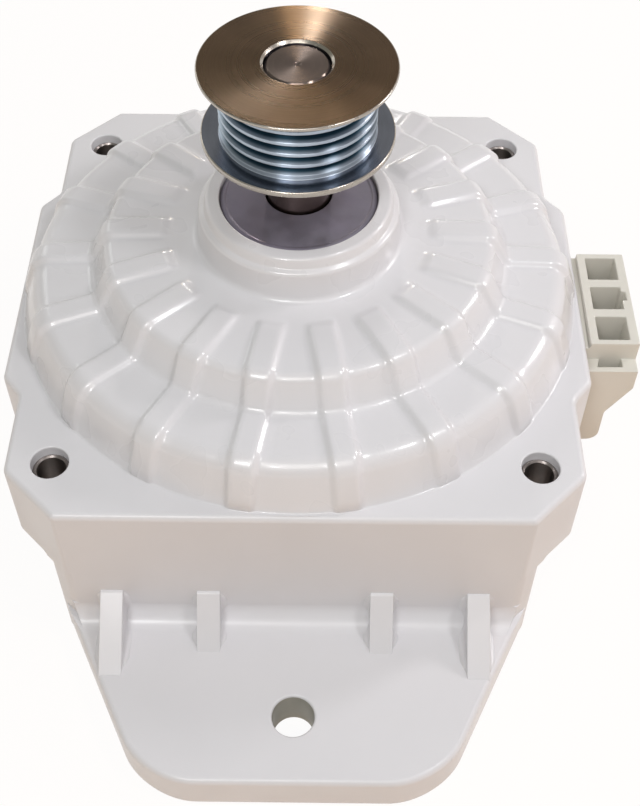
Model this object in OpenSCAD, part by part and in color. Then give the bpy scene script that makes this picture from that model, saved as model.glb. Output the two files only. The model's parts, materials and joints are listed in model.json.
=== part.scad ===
// Belt-drive washing machine motor: moulded body with foot, steel pulley and plug housing.
// The origin is on the shaft axis, in the plane of the flange's upper face, with +Z towards the pulley.
// The foot points along -Y and the plug housing along +X. All sizes are in millimetres.

/* [Flange and ears] */
// Width and depth of the body across its flat sides
body_width = 114.2; // [113:0.2:118]
// Step between the body's side and the side of an ear
ear_inset = 3.7; // [2.5:0.1:4.5]
// Material between an ear hole's centre and the ear's side
ear_margin = 8.4; // [7:0.1:9]
// Thickness of the flange at the ears
flange_thickness = 19.2; // [14:0.2:20]
// Flat across each corner of the flange, along the side
corner_cut = 10.2; // [7:0.1:11]
// Length of the straight part of the side bulge
bulge_length = 49; // [42:1:54]
// Length of the slant between an ear and the side bulge
bulge_slant = 4.5; // [3:0.1:6]
// Bevel on the upper edge of the flange
edge_bevel = 0.7; // [0.3:0.1:1.2]
// Diameter of the ear hole in the moulding
ear_hole_d = 7; // [6.6:0.1:8]
// Bore of the steel sleeve in an ear
sleeve_bore = 5.5; // [5:0.1:5.8]
// Depth of the sleeve's end below the flange face
sleeve_recess = 2; // [1:0.1:4]

/* [Dome and collar] */
// Step between the body's side and the foot of the dome
dome_margin = 1.3; // [0.8:0.1:2]
// Slant of the dome's wall between its foot and its edge
dome_draft = 3.5; // [2.5:0.1:4]
// Height of the outer tier at its edge
outer_tier_edge = 9.3; // [9.1:0.1:9.6]
// Height of the outer tier where it meets the inner tier
outer_tier_top = 9.7; // [9.6:0.1:10.4]
// Radius at which the outer tier ends
outer_tier_inner_r = 41; // [39.8:0.1:42]
// Radius of the inner tier's edge
inner_tier_r = 37.6; // [36.8:0.1:38.4]
// Height of the inner tier at its edge
inner_tier_edge = 16.1; // [15.8:0.1:16.5]
// Height of the inner tier at the foot of the collar
inner_tier_top = 16.8; // [16.6:0.1:17.6]
// Radius of the collar's outer wall
collar_r = 19.3; // [19:0.1:20]
// Height of the collar above the inner tier
collar_height = 8.7; // [8.4:0.1:9.4]
// Number of raised ribs on the dome
rib_count = 18; // [12:1:24]
// Width of a rib
rib_width = 5; // [3:0.1:6]
// Height of a rib above the dome
rib_rise = 0.9; // [0.4:0.1:1.4]
// Radius at which the ribs start
rib_inner_r = 26; // [24:0.5:30]
// Wall thickness of the dome
dome_wall = 2.2; // [1.8:0.1:2.3]

/* [Body and foot] */
// Height of the body from its base to the flange face
body_height = 43; // [42:0.5:50]
// Width of the front wall across its flat face
front_wall_width = 86.4; // [80:0.2:90]
// Width of the front wall behind its bevelled corners
front_wall_back_width = 93; // [90:0.2:95]
// Thickness of the front wall at its ends
front_wall_t = 4.5; // [3:0.1:6]
// Reach of the foot plate from the shaft axis
foot_reach = 91.6; // [88:0.2:98]
// Thickness of the foot plate
foot_t = 9.1; // [6:0.1:12]
// Distance between the centres of the foot plate's round corners
foot_corner_distance = 35.6; // [30:0.2:44]
// Radius of the foot plate's corners
foot_corner_r = 15.7; // [8:0.1:18]
// Step between the front wall's outer edge and the root of the foot plate's side
foot_root_step = 0.75; // [0:0.05:3]
// Diameter of the hole in the foot plate
foot_hole_d = 8; // [6:0.1:10]
// Distance from the shaft axis to the hole in the foot plate
foot_hole_reach = 78.4; // [76.5:0.1:80]
// Radius of the fillet between the wall and the foot plate
foot_fillet = 3.5; // [1:0.1:4]
// Height of the gussets above the foot plate
gusset_height = 9.2; // [6:0.1:12]
// Thickness of a gusset
gusset_t = 4.4; // [3:0.1:5]
// Distance from the centre plane to an outer gusset
outer_gusset_x = 35.3; // [33:0.1:37]
// Reach of an outer gusset along the foot plate
outer_gusset_reach = 13.4; // [9:0.1:15]
// Distance from the centre plane to an inner gusset
inner_gusset_x = 16.7; // [14:0.1:20]
// Reach of an inner gusset along the foot plate
inner_gusset_reach = 8.2; // [5:0.1:10]

/* [Shaft and bearings] */
// Diameter of the shaft in its bearings
shaft_d = 12; // [11:0.1:12.6]
// Diameter of the shaft under the rotor
shaft_middle_d = 15; // [14.4:0.1:16]
// Outer diameter of a bearing
bearing_d = 28; // [27:0.1:28.6]
// Width of a bearing
bearing_width = 8; // [7:0.1:9]
// Diameter of a bearing ball
ball_d = 4.762; // [4.2:0.001:5]
// Number of balls in a bearing
ball_count = 8; // [6:1:9]
// Sheet thickness of the front bearing cup
cup_t = 1.1; // [0.8:0.1:1.5]
// Depth of the cup's face below the collar's rim
cup_recess = 0.9; // [0.3:0.1:1.5]
// Width of the cup's anchoring flange
cup_flange = 5.4; // [3:0.1:6]

/* [Pulley] */
// Height of the pulley's upper face above the flange
pulley_top = 55.35; // [52:0.05:60]
// Diameter of the pulley's flanges
pulley_flange_d = 35.3; // [32:0.1:38]
// Thickness of a pulley flange
pulley_flange_t = 1.2; // [0.8:0.1:2]
// Diameter over the pulley's grooves
groove_d = 28.5; // [26:0.1:29]
// Number of belt grooves
groove_count = 5; // [3:1:6]
// Distance between neighbouring grooves
groove_pitch = 2.34; // [2.2:0.01:2.6]
// Depth of a groove
groove_depth = 1.95; // [1.4:0.05:2.1]
// Plain land beside the first and last groove
groove_margin = 1.8; // [1.3:0.05:2.5]

/* [Stator and rotor] */
// Thickness of the moulding around the stator core
stator_wall = 6.1; // [5.6:0.1:7]
// Height of the stator core
stack_height = 24; // [20:0.2:25]
// Height of the stator core's upper face above the flange
stack_top = 1.5; // [0.5:0.1:2]
// Number of stator teeth
tooth_count = 18; // [18:1:18]
// Length of a stator tooth from the bore to the yoke
tooth_length = 15.5; // [14:0.1:16.5]
// Width of a stator tooth
tooth_width = 6.2; // [5:0.1:6.6]
// Thickness of the stator yoke
yoke_t = 5.5; // [4:0.1:6]
// Thickness of the tooth tips
tip_t = 1.6; // [1.2:0.1:2]
// Gap between neighbouring tooth tips
slot_mouth = 2; // [1.6:0.1:3]
// Thickness of the end insulators
insulator_t = 1; // [0.8:0.1:1.4]
// Height of a coil's end turns above its insulator
end_turn = 3.2; // [2.4:0.1:3.4]
// Air gap between the rotor and the stator
air_gap = 0.8; // [0.5:0.1:1.2]
// Thickness of the rotor magnets
magnet_t = 6.2; // [4:0.1:7]
// Number of rotor magnets
magnet_count = 12; // [8:2:16]
// Thickness of the rotor's end rings
end_ring_t = 2; // [1.5:0.1:3]

/* [Rear cover] */
// Sheet thickness of the rear cover
cover_t = 1.5; // [1:0.1:1.8]
// Depth of the cover's seat in the base
cover_recess = 4.3; // [4.2:0.1:6]
// Width of the cover's seat around the cavity
cover_seat_width = 2.9; // [2.4:0.1:3.4]
// Distance from the cover's round rim to a cover screw
screw_offset = 4; // [3:0.1:4.5]
// Angle between a cover screw and the X axis
screw_angle = 62; // [60:0.5:66]
// Thread diameter of the cover screws
screw_d = 3.9; // [3:0.1:4]
// Radius of a lug on the cover
lug_r = 4.8; // [4.2:0.1:5]
// Height of the rear cover's dish above its rim
dish_height = 6.3; // [5:0.1:7]

/* [Plug housing] */
// Distance between neighbouring cells
cell_pitch = 8.4; // [7.8:0.1:9]
// Side of a square cell
cell_size = 6.2; // [5.6:0.1:6.6]
// Depth of a cell
cell_depth = 10.5; // [8:0.1:10.8]
// Number of cells
cell_count = 3; // [1:1:3]
// Width of the plug housing, away from the body
plug_width = 9.4; // [9:0.1:11]
// Gap between the body's side and the plug housing's upper part
plug_gap = 1.5; // [1:0.1:2]
// Depth of the plug housing's top below the flange face
plug_drop = 0.5; // [0:0.1:2]
// Distance from the centre plane to the plug housing's rear end
plug_rear_y = 11.5; // [10:0.1:14]
// Wall at the rear end and between the cells and the latch slot
plug_end_wall = 1.3; // [1:0.1:1.6]
// Length of the latch slot across the plug housing's front
latch_slot = 2; // [1.5:0.1:2.5]
// Depth of the latch block below the plug housing's top
latch_drop = 4.5; // [3:0.1:6]
// Thickness of a terminal
terminal_t = 0.8; // [0.5:0.1:1]
// Width of a terminal's blade
terminal_width = 4; // [3:0.1:4.8]

/* [Hidden] */
$fn = 72;

// Segments of a rounded corner in a revolved outline
corner_steps = 5;
// Overlap of cutters past the faces that they cut
cut = 1;
// Clearance around pieces that the moulding holds
mould_gap = 0.05;
// Radial clearance of pieces pressed on the shaft
press_gap = 0.01;
// Play between a ball and its grooves
ball_play = 0.05;
// Clearance between a coil and its neighbours
coil_gap = 0.3;
// Clearance where the shaft passes a plate
shaft_clearance = 0.35;
// Step of the cavity below the stator, which the core seats on
cavity_step = 1.4;
// Direction in which the front wall's web meets the round body
web_angle = 53;
// Depth of the web behind the front wall
web_depth = 8.5;
// Overhang of the end insulators over the yoke
insulator_overhang = 3;
// Radius of the wire that joins the coils' ends
joining_wire_r = 0.64;
// Vent holes of the rotor core
core_hole_r = 3.4;
core_hole_count = 6;
// Rivet heads of the rotor's end rings
rivet_r = 1.5;
rivet_height = 2.5;
// Ring width left open around the shaft by the rotor's end rings
end_ring_inset = 8;
// Rear cover's slope between its rim and its raised middle
dish_slope_width = 9;
dish_flat_width = 9;
// Head and cross recess of the cover screws
screw_head_r = 3.6;
screw_head_height = 2.2;
screw_length = 10;
recess_length = 4.4;
recess_width = 0.9;
recess_depth = 1.2;
// Latch recess behind the plug housing's front wall
latch_recess_depth = 6;
latch_recess_length = 4.8;
// Keying groove beside the middle cell
key_groove = [1, 2.4];
// Depth of the plug housing's pad into the drum and its margin beside the plug housing
pad_depth = 12;
pad_margin = 0.6;
// Reach of the terminals' pockets behind the body's side
terminal_reach = 15;

body_half = body_width / 2;
ear_half = body_half - ear_inset;
ear_hole_distance = 2 * (ear_half - ear_margin);
base_z = -body_height;
foot_top = base_z + foot_t;
dome_r = body_half - dome_margin;
dome_edge_r = dome_r - dome_draft;
rim_z = inner_tier_top + collar_height;

shaft_r = shaft_d / 2;
bearing_r = bearing_d / 2;
cup_r = bearing_r + cup_t;
cup_top = rim_z - cup_recess;
front_bearing_z = cup_top - cup_t - bearing_width;
cup_flange_z = front_bearing_z - 0.5;
cup_floor_z = cup_flange_z - cup_t;
ceiling_z = cup_floor_z - 1.5;

cover_seat = base_z + cover_recess;
cover_inset = 0.6;
wave_height = 0.8;
wave_t = 0.4;
rear_seat_z = base_z + cover_inset + cover_t;
rear_bearing_z = rear_seat_z + wave_height;
rear_bearing_top = rear_bearing_z + bearing_width;

ball_pitch_r = (shaft_r + bearing_r) / 2;
land_gap = 1.7;
groove_r = ball_d / 2 + ball_play;
shield_t = 0.4;
shield_inset = 0.2;
shield_step = 0.4;

pulley_height = 2 * (pulley_flange_t + groove_margin) + (groove_count - 1) * groove_pitch;
pulley_base = pulley_top - pulley_height;
shaft_top = pulley_top - 0.45;
shaft_bottom = base_z + 1.2;

stator_r = body_half - stator_wall;
yoke_r = stator_r - yoke_t;
bore_r = yoke_r - tooth_length;
stack_bottom = stack_top - stack_height;
tooth_step = 360 / tooth_count;
wrap_t = 0.5;
insulator_wall = 1.6;
insulator_wall_height = end_turn + 0.6;
lower_cavity_r = stator_r - cavity_step;
cover_r = lower_cavity_r + cover_seat_width;
screw_reach = cover_r + screw_offset;
upper_cavity_r = stator_r - 1.6;
rotor_r = bore_r - air_gap;
rotor_core_r = rotor_r - magnet_t;

plug_inner_x = body_half + plug_gap;
plug_outer_x = plug_inner_x + plug_width;
plug_top = -plug_drop;
cell_x = plug_inner_x + plug_width * 0.47;
cell_front_y = plug_rear_y - plug_end_wall - (cell_count - 1) * cell_pitch - cell_size;
latch_rear_y = cell_front_y - plug_end_wall;
plug_front_y = latch_rear_y - latch_slot - 1.4;
tail_z = stack_bottom - 2.3;
tail_height = 2;
spigot_height = 3.6;
plug_base = tail_z - spigot_height / 2 - 0.6;

function unit(v) = v / norm(v);

function left(v) = [-v[1], v[0]];

function arc(centre, r, from, to, steps) = [
  for (i = [0 : steps]) centre + r * [cos(from + (to - from) * i / steps), sin(from + (to - from) * i / steps)]
];

// Points of a corner at b, between a and c, rounded to radius r
function corner(a, b, c, r) = let (
  u = unit(a - b),
  v = unit(c - b),
  half = acos(u * v) / 2,
  centre = b + unit(u + v) * r / sin(half),
  start = b + u * r / tan(half) - centre,
  end = b + v * r / tan(half) - centre,
  from = atan2(start[1], start[0]),
  turn = atan2(end[1], end[0]) - from,
  sweep = turn > 180 ? turn - 360 : turn < -180 ? turn + 360 : turn
) arc(centre, r, from, from + sweep, corner_steps);

// Outline through [x, y, radius] points, each corner rounded to its radius
function rounded(points) = [
  for (i = [0 : len(points) - 1]) let (
    p = points[i],
    b = [p[0], p[1]],
    before = points[max(i - 1, 0)],
    after = points[min(i + 1, len(points) - 1)]
  ) each (p[2] > 0 ? corner([before[0], before[1]], b, [after[0], after[1]], p[2]) : [b])
];

// One point of a path moved sideways by t
function beside(path, i, t) = let (
  last = len(path) - 1,
  n_in = left(unit(path[max(i, 1)] - path[max(i, 1) - 1])),
  n_out = left(unit(path[min(i, last - 1) + 1] - path[min(i, last - 1)])),
  m = unit(n_in + n_out)
) path[i] + m * t / (m * n_in);

// Closed outline of a sheet of thickness t that follows a path on its left side
function sheet(path, t) = concat(path, [for (i = [len(path) - 1 : -1 : 0]) beside(path, i, t)]);

function mirrored(points) = concat(points, [for (i = [len(points) - 1 : -1 : 0]) [-points[i][0], points[i][1]]]);

module four_ways() {
  for (sx = [-1, 1])
    for (sy = [-1, 1])
      signed_mirror(sx, sy) children();
}

// Mirrors its children across the X and Y planes where the signs are negative
module signed_mirror(sx, sy) {
  mirror([sx < 0 ? 1 : 0, 0, 0])
    mirror([0, sy < 0 ? 1 : 0, 0])
      children();
}

module ring(outer, inner, z0, z1) {
  translate([0, 0, z0])
    linear_extrude(z1 - z0)
      annulus(outer, inner);
}

module annulus(outer, inner) {
  difference() {
    circle(outer);
    circle(inner);
  }
}

module wedge(half_angle, reach) {
  far = reach / cos(half_angle);
  polygon([[0, 0], far * [cos(half_angle), -sin(half_angle)], far * [cos(half_angle), sin(half_angle)]]);
}

// Moulded housing

flange_right = [
  [body_half - corner_cut - (body_half - ear_half), -body_half],
  [ear_half, -body_half + corner_cut],
  [ear_half, -bulge_length / 2 - bulge_slant],
  [body_half, -bulge_length / 2],
  [body_half, bulge_length / 2],
  [ear_half, bulge_length / 2 + bulge_slant],
  [ear_half, body_half - corner_cut],
  [body_half - corner_cut - (body_half - ear_half), body_half]
];

flange_outline = mirrored(flange_right);

// Cutter that bevels one straight edge of the flange's upper face
module edge_cutter(a, b, size) {
  run = norm(b - a);
  translate([a[0], a[1], 0])
    rotate([0, 0, atan2(b[1] - a[1], b[0] - a[0])])
      rotate([90, 0, 90])
        translate([0, 0, -size / 2])
          linear_extrude(run + size)
            polygon([[-size, size], [-size, -size], [size, size]]);
}

module flange() {
  count = len(flange_outline);
  difference() {
    translate([0, 0, -flange_thickness])
      linear_extrude(flange_thickness)
        polygon(flange_outline);
    for (i = [0 : count - 1]) {
      edge_cutter(flange_outline[i], flange_outline[(i + 1) % count], edge_bevel);
    }
  }
}

dome_top_outline = [
  [dome_r, 0, 0],
  [dome_edge_r, outer_tier_edge, 4],
  [outer_tier_inner_r, outer_tier_top, 1.8],
  [inner_tier_r, inner_tier_edge, 2],
  [collar_r + 0.6, inner_tier_top, 1],
  [collar_r, rim_z - 2.6, 0.8],
  [collar_r - 1.1, rim_z - 2, 0.4],
  [collar_r - 1.6, rim_z, 0.8],
  [cup_r, rim_z, 0]
];

// Solid under the dome's outline, raised and widened by lift
module dome_solid(lift) {
  outline = rounded(dome_top_outline);
  lifted = [for (p = outline) p + [lift, lift]];
  rotate_extrude()
    polygon(concat([[0, -cut], [dome_r + lift, -cut]], lifted, [[0, rim_z + lift]]));
}

module dome_ribs() {
  intersection() {
    dome_solid(rib_rise);
    for (i = [0 : rib_count - 1])
      rotate([0, 0, i * 360 / rib_count])
        translate([rib_inner_r, -rib_width / 2, -cut])
          cube([dome_r - rib_inner_r + rib_rise, rib_width, inner_tier_top + rib_rise]);
  }
}

// Point where a line from p touches the circle round c, on the side given by sign
function tangent_point(p, c, r, sign) = let (
  d = p - c,
  angle = atan2(d[1], d[0]) + sign * acos(r / norm(d))
) c + r * [cos(angle), sin(angle)];

module foot_plate_2d() {
  corner_x = foot_corner_distance / 2;
  corner_y = -foot_reach + foot_corner_r;
  web_cut = (front_wall_back_width - front_wall_width) / 2;
  root = [front_wall_back_width / 2, -body_half + web_cut] - foot_root_step * [1, 1];
  touch = tangent_point(root, [corner_x, corner_y], foot_corner_r, -1);
  polygon(mirrored([
    [front_wall_width / 2, -body_half + front_wall_t],
    root,
    touch,
    [corner_x, corner_y],
    [corner_x, -foot_reach]
  ]));
  for (side = [-1, 1])
    translate([side * corner_x, corner_y])
      circle(foot_corner_r);
}

module foot_plate() {
  translate([0, 0, base_z])
    linear_extrude(foot_t)
      foot_plate_2d();
  intersection() {
    translate([-front_wall_width / 2, -body_half, foot_top])
      rotate([90, 0, 90])
        linear_extrude(front_wall_width)
          polygon(concat([[0, 0]], arc([-foot_fillet, foot_fillet], foot_fillet, 0, -90, corner_steps)));
    translate([0, 0, base_z])
      linear_extrude(foot_t + foot_fillet + cut)
        foot_plate_2d();
  }
}

// Triangular gusset on the front wall, with a rounded upper end
module gusset(x, reach) {
  height = gusset_height;
  translate([x - gusset_t / 2, -body_half, foot_top])
    rotate([90, 0, 90])
      linear_extrude(gusset_t)
        polygon(concat(
          [[1, -1], [1, height]],
          rounded([[0, height, 0], [-2.2, height - 0.4, 1.5], [-reach, 0, 0]]),
          [[-reach, -1]]
        ));
}

screw_points = [
  for (side = [-1, 1]) for (end = [-1, 1])
    screw_reach * [side * cos(screw_angle), end * sin(screw_angle)]
];

boss_r = lug_r + 2.1;

module lower_body() {
  translate([0, 0, base_z]) {
    linear_extrude(body_height - 0.5)
      circle(body_half);
    linear_extrude(body_height - flange_thickness + 0.5)
      intersection() {
        square([2 * body_half, 2 * body_half], center = true);
        for (p = screw_points)
          translate(p)
            circle(boss_r);
      }
    linear_extrude(body_height - flange_thickness + 0.5)
      front_wall_2d();
    linear_extrude(body_height - flange_thickness + 0.5)
      plug_pad_2d();
  }
}

module front_wall_2d() {
  wall_back = -body_half + front_wall_t;
  web_x = front_wall_back_width / 2 - web_depth;
  polygon(mirrored([
    (stator_r - 1) * [cos(web_angle), -sin(web_angle)],
    [web_x - front_wall_t / 2, wall_back + front_wall_t],
    [web_x + 1, wall_back],
    [front_wall_back_width / 2, wall_back],
    [front_wall_back_width / 2, -body_half + (front_wall_back_width - front_wall_width) / 2],
    [front_wall_width / 2, -body_half]
  ]));
}

// Flat pad on the drum's side that the plug housing seats on
module plug_pad_2d() {
  translate([body_half - pad_depth, plug_front_y - pad_margin])
    square([pad_depth, plug_rear_y - plug_front_y + 2 * pad_margin]);
}

// Outline of the rear cover, grown by gap
module cover_2d(gap) {
  circle(cover_r + gap);
  for (p = screw_points)
    translate(p)
      circle(lug_r + gap);
}

// Hollow of the housing around the stator and the rotor
module housing_cavity() {
  outer_slope = (outer_tier_top - outer_tier_edge) / (dome_edge_r - outer_tier_inner_r);
  edge_z = outer_tier_edge + (dome_edge_r - upper_cavity_r) * outer_slope - dome_wall;
  inner_r = outer_tier_inner_r - dome_wall;
  inner_z = outer_tier_edge + (dome_edge_r - inner_r) * outer_slope - dome_wall;
  step_slope = (outer_tier_inner_r - inner_tier_r) / (inner_tier_edge - outer_tier_top);
  translate([0, 0, cover_seat - cut])
    cylinder(r = lower_cavity_r, h = stack_bottom - cover_seat + cut + 0.5);
  translate([0, 0, stack_bottom - mould_gap])
    cylinder(r = stator_r + mould_gap, h = stack_height + 2 * mould_gap);
  rotate_extrude()
    polygon([
      [0, stack_top - 0.5],
      [upper_cavity_r, stack_top - 0.5],
      [upper_cavity_r, edge_z],
      [inner_r, inner_z],
      [inner_r - step_slope * (ceiling_z - inner_z), ceiling_z],
      [0, ceiling_z]
    ]);
}

// Pocket in the collar for the steel cup
module cup_pocket() {
  wall_r = cup_r + mould_gap;
  flange_r = cup_r + cup_flange + mould_gap;
  rotate_extrude()
    polygon([
      [0, ceiling_z - cut],
      [bearing_r + 0.4, ceiling_z - cut],
      [bearing_r + 0.4, cup_floor_z - mould_gap],
      [flange_r, cup_floor_z - mould_gap],
      [flange_r, cup_flange_z + mould_gap],
      [wall_r, cup_flange_z + mould_gap],
      [wall_r, rim_z + cut],
      [0, rim_z + cut]
    ]);
}

module spigot_window() {
  size_y = plug_rear_y - latch_rear_y - 2 * plug_end_wall + 2 * mould_gap;
  translate([
    lower_cavity_r - 6,
    latch_rear_y + plug_end_wall - mould_gap,
    tail_z - spigot_height / 2 - mould_gap
  ])
    cube([body_half - lower_cavity_r + 6 + cut, size_y, spigot_height + 2 * mould_gap]);
}

module motor_housing() {
  color("whitesmoke")
    difference() {
      union() {
        flange();
        lower_body();
        dome_solid(0);
        dome_ribs();
        foot_plate();
        for (side = [-1, 1]) {
          gusset(side * outer_gusset_x, outer_gusset_reach);
          gusset(side * inner_gusset_x, inner_gusset_reach);
        }
      }
      housing_cavity();
      cup_pocket();
      spigot_window();
      four_ways()
        translate([ear_hole_distance / 2, ear_hole_distance / 2, -flange_thickness - cut])
          cylinder(d = ear_hole_d, h = flange_thickness + 2 * cut);
      translate([0, -foot_hole_reach, base_z - cut])
        cylinder(d = foot_hole_d, h = foot_t + 2 * cut);
      translate([0, 0, base_z - cut])
        linear_extrude(cover_recess + cut)
          cover_2d(0.3);
      for (p = screw_points)
        translate([p[0], p[1], cover_seat - cut])
          cylinder(d = screw_d + 2 * mould_gap, h = screw_length + 1 + cut);
    }
}

// Steel pieces held by the moulding

module front_bearing_cup() {
  path = rounded([
    [shaft_r + shaft_clearance, cup_top, 0],
    [cup_r, cup_top, cup_t + 0.4],
    [cup_r, cup_flange_z, 0],
    [cup_r + cup_flange, cup_flange_z, 0]
  ]);
  color("darkgray")
    rotate_extrude()
      polygon(sheet(path, -cup_t));
}

module sleeve(sx, sy) {
  color("dimgray")
    translate([sx * ear_hole_distance / 2, sy * ear_hole_distance / 2, 0])
      ring(ear_hole_d / 2 - press_gap, sleeve_bore / 2, -flange_thickness, -sleeve_recess);
}

module rear_cover() {
  lip_z = base_z + cover_inset;
  dish_z = cover_seat + dish_height - cover_t;
  wall_r = bearing_r + cover_t;
  rim_path = rounded([
    [cover_r - 1, cover_seat - cover_t, 0],
    [wall_r + dish_flat_width + dish_slope_width, cover_seat - cover_t, 2],
    [wall_r + dish_flat_width, dish_z, 2],
    [wall_r, dish_z, 0.6],
    [wall_r, lip_z, cover_t + 0.3],
    [shaft_r + 1.5, lip_z, 0]
  ]);
  color("gainsboro")
    difference() {
      union() {
        rotate_extrude()
          polygon(sheet(rim_path, -cover_t));
        translate([0, 0, cover_seat - cover_t])
          linear_extrude(cover_t)
            difference() {
              cover_2d(0);
              circle(cover_r - 2);
            }
      }
      for (p = screw_points)
        translate([p[0], p[1], base_z])
          cylinder(d = screw_d + 0.5, h = body_height);
    }
}

module rear_cover_screws() {
  head_z = cover_seat - cover_t;
  round_r = 1.4;
  color("silver")
    for (p = screw_points)
      translate([p[0], p[1], head_z])
        difference() {
          union() {
            cylinder(d = screw_d, h = cover_t + screw_length);
            rotate_extrude()
              polygon(concat(
                [[0, 0], [screw_head_r, 0]],
                arc([screw_head_r - round_r, round_r - screw_head_height], round_r, 0, -90, corner_steps),
                [[0, -screw_head_height]]
              ));
          }
          for (turn = [0, 90])
            rotate([0, 0, turn])
              translate([-recess_length / 2, -recess_width / 2, -screw_head_height - cut])
                cube([recess_length, recess_width, recess_depth + cut]);
        }
}

// Bearings

module bearing_outer_ring(z) {
  land_r = ball_pitch_r + land_gap;
  step_r = land_r + shield_step;
  step_h = shield_inset + shield_t;
  color("lightsteelblue")
    translate([0, 0, z])
      rotate_extrude()
        difference() {
          polygon([
            [step_r, 0],
            [bearing_r - press_gap - 0.4, 0],
            [bearing_r - press_gap, 0.4],
            [bearing_r - press_gap, bearing_width - 0.4],
            [bearing_r - press_gap - 0.4, bearing_width],
            [step_r, bearing_width],
            [step_r, bearing_width - step_h],
            [land_r, bearing_width - step_h],
            [land_r, step_h],
            [step_r, step_h]
          ]);
          translate([ball_pitch_r, bearing_width / 2])
            circle(groove_r);
        }
}

module bearing_inner_ring(z) {
  land_r = ball_pitch_r - land_gap;
  bore = shaft_r + press_gap;
  color("lightsteelblue")
    translate([0, 0, z])
      rotate_extrude()
        difference() {
          polygon([
            [bore, 0.4],
            [bore + 0.4, 0],
            [land_r, 0],
            [land_r, bearing_width],
            [bore + 0.4, bearing_width],
            [bore, bearing_width - 0.4]
          ]);
          translate([ball_pitch_r, bearing_width / 2])
            circle(groove_r);
        }
}

module bearing_balls(z) {
  color("silver")
    for (i = [0 : ball_count - 1])
      rotate([0, 0, i * 360 / ball_count])
        translate([ball_pitch_r, 0, z + bearing_width / 2])
          sphere(d = ball_d);
}

// Crown cage: a ring under the balls with fingers between them
module bearing_cage(z) {
  pocket_r = ball_d / 2 + 0.08;
  color("khaki")
    translate([0, 0, z + bearing_width / 2])
      difference() {
        ring(ball_pitch_r + 1, ball_pitch_r - 1, -pocket_r - 0.6, 1.2);
        for (i = [0 : ball_count - 1])
          rotate([0, 0, i * 360 / ball_count])
            translate([ball_pitch_r, 0, 0])
              sphere(r = pocket_r);
      }
}

module bearing_shields(z) {
  outer = ball_pitch_r + land_gap + shield_step - press_gap;
  inner = ball_pitch_r - land_gap + 0.2;
  color("slategray") {
    ring(outer, inner, z + shield_inset, z + shield_inset + shield_t);
    ring(outer, inner, z + bearing_width - shield_inset - shield_t, z + bearing_width - shield_inset);
  }
}

// Wave washer as one closed band that rises and falls three times
module wave_washer() {
  steps = 48;
  waves = 3;
  swing = (wave_height - wave_t) / 2;
  middle = rear_seat_z + wave_height / 2;
  inner = ball_pitch_r + land_gap + 0.3;
  outer = bearing_r - 0.4;
  sections = [
    for (i = [0 : steps - 1]) let (
      angle = 360 * i / steps,
      z = middle + (swing - 0.01) * sin(waves * angle),
      dir = [cos(angle), sin(angle)]
    ) each [
      [inner * dir[0], inner * dir[1], z - wave_t / 2],
      [outer * dir[0], outer * dir[1], z - wave_t / 2],
      [outer * dir[0], outer * dir[1], z + wave_t / 2],
      [inner * dir[0], inner * dir[1], z + wave_t / 2]
    ]
  ];
  faces = [
    for (i = [0 : steps - 1]) for (k = [0 : 3]) let (
      j = (i + 1) % steps,
      m = (k + 1) % 4
    ) each [
      [4 * i + k, 4 * i + m, 4 * j + m],
      [4 * i + k, 4 * j + m, 4 * j + k]
    ]
  ];
  color("gray")
    polyhedron(sections, faces);
}

// Shaft and pulley

module shaft() {
  middle_r = shaft_middle_d / 2;
  bevel = 0.5;
  color("silver")
    rotate_extrude()
      polygon([
        [0, shaft_bottom + 1],
        [1.1, shaft_bottom],
        [shaft_r - bevel, shaft_bottom],
        [shaft_r, shaft_bottom + bevel],
        [shaft_r, rear_bearing_top],
        [middle_r - bevel, rear_bearing_top],
        [middle_r, rear_bearing_top + bevel],
        [middle_r, front_bearing_z - bevel],
        [middle_r - bevel, front_bearing_z],
        [shaft_r, front_bearing_z],
        [shaft_r, shaft_top - bevel],
        [shaft_r - bevel, shaft_top],
        [1.1, shaft_top],
        [0, shaft_top - 1]
      ]);
}

module pulley() {
  bore = shaft_r + press_gap;
  flange_r = pulley_flange_d / 2;
  core_r = groove_d / 2;
  bevel = 0.3;
  first = pulley_base + pulley_flange_t + groove_margin;
  root_half = 0.14;
  mouth_half = root_half + groove_depth * tan(20);
  grooves = [
    for (i = [0 : groove_count - 1]) let (z = first + i * groove_pitch) each [
      [core_r, z - mouth_half],
      [core_r - groove_depth, z - root_half],
      [core_r - groove_depth, z + root_half],
      [core_r, z + mouth_half]
    ]
  ];
  color("silver")
    rotate_extrude()
      polygon(concat(
        [
          [bore, pulley_base + bevel],
          [bore + bevel, pulley_base],
          [flange_r - bevel, pulley_base],
          [flange_r, pulley_base + bevel],
          [flange_r, pulley_base + pulley_flange_t - bevel],
          [flange_r - bevel, pulley_base + pulley_flange_t],
          [core_r, pulley_base + pulley_flange_t]
        ],
        grooves,
        [
          [core_r, pulley_top - pulley_flange_t],
          [flange_r - bevel, pulley_top - pulley_flange_t],
          [flange_r, pulley_top - pulley_flange_t + bevel],
          [flange_r, pulley_top - bevel],
          [flange_r - bevel, pulley_top],
          [bore + bevel, pulley_top],
          [bore, pulley_top - bevel]
        ]
      ));
}

// Stator

module teeth_2d(width, from, to) {
  for (i = [0 : tooth_count - 1])
    rotate(i * tooth_step)
      translate([from, -width / 2])
        square([to - from, width]);
}

module tips_2d(from, to, mouth) {
  half_angle = tooth_step / 2 - asin(mouth / 2 / bore_r);
  intersection() {
    annulus(to, from);
    for (i = [0 : tooth_count - 1])
      rotate(i * tooth_step)
        wedge(half_angle, to + 1);
  }
}

module stator_core() {
  color("slategray")
    translate([0, 0, stack_bottom])
      linear_extrude(stack_height)
        difference() {
          union() {
            annulus(stator_r, yoke_r);
            teeth_2d(tooth_width, bore_r + 0.5, yoke_r + 0.5);
            tips_2d(bore_r, bore_r + tip_t, slot_mouth);
          }
          circle(bore_r);
        }
}

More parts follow.
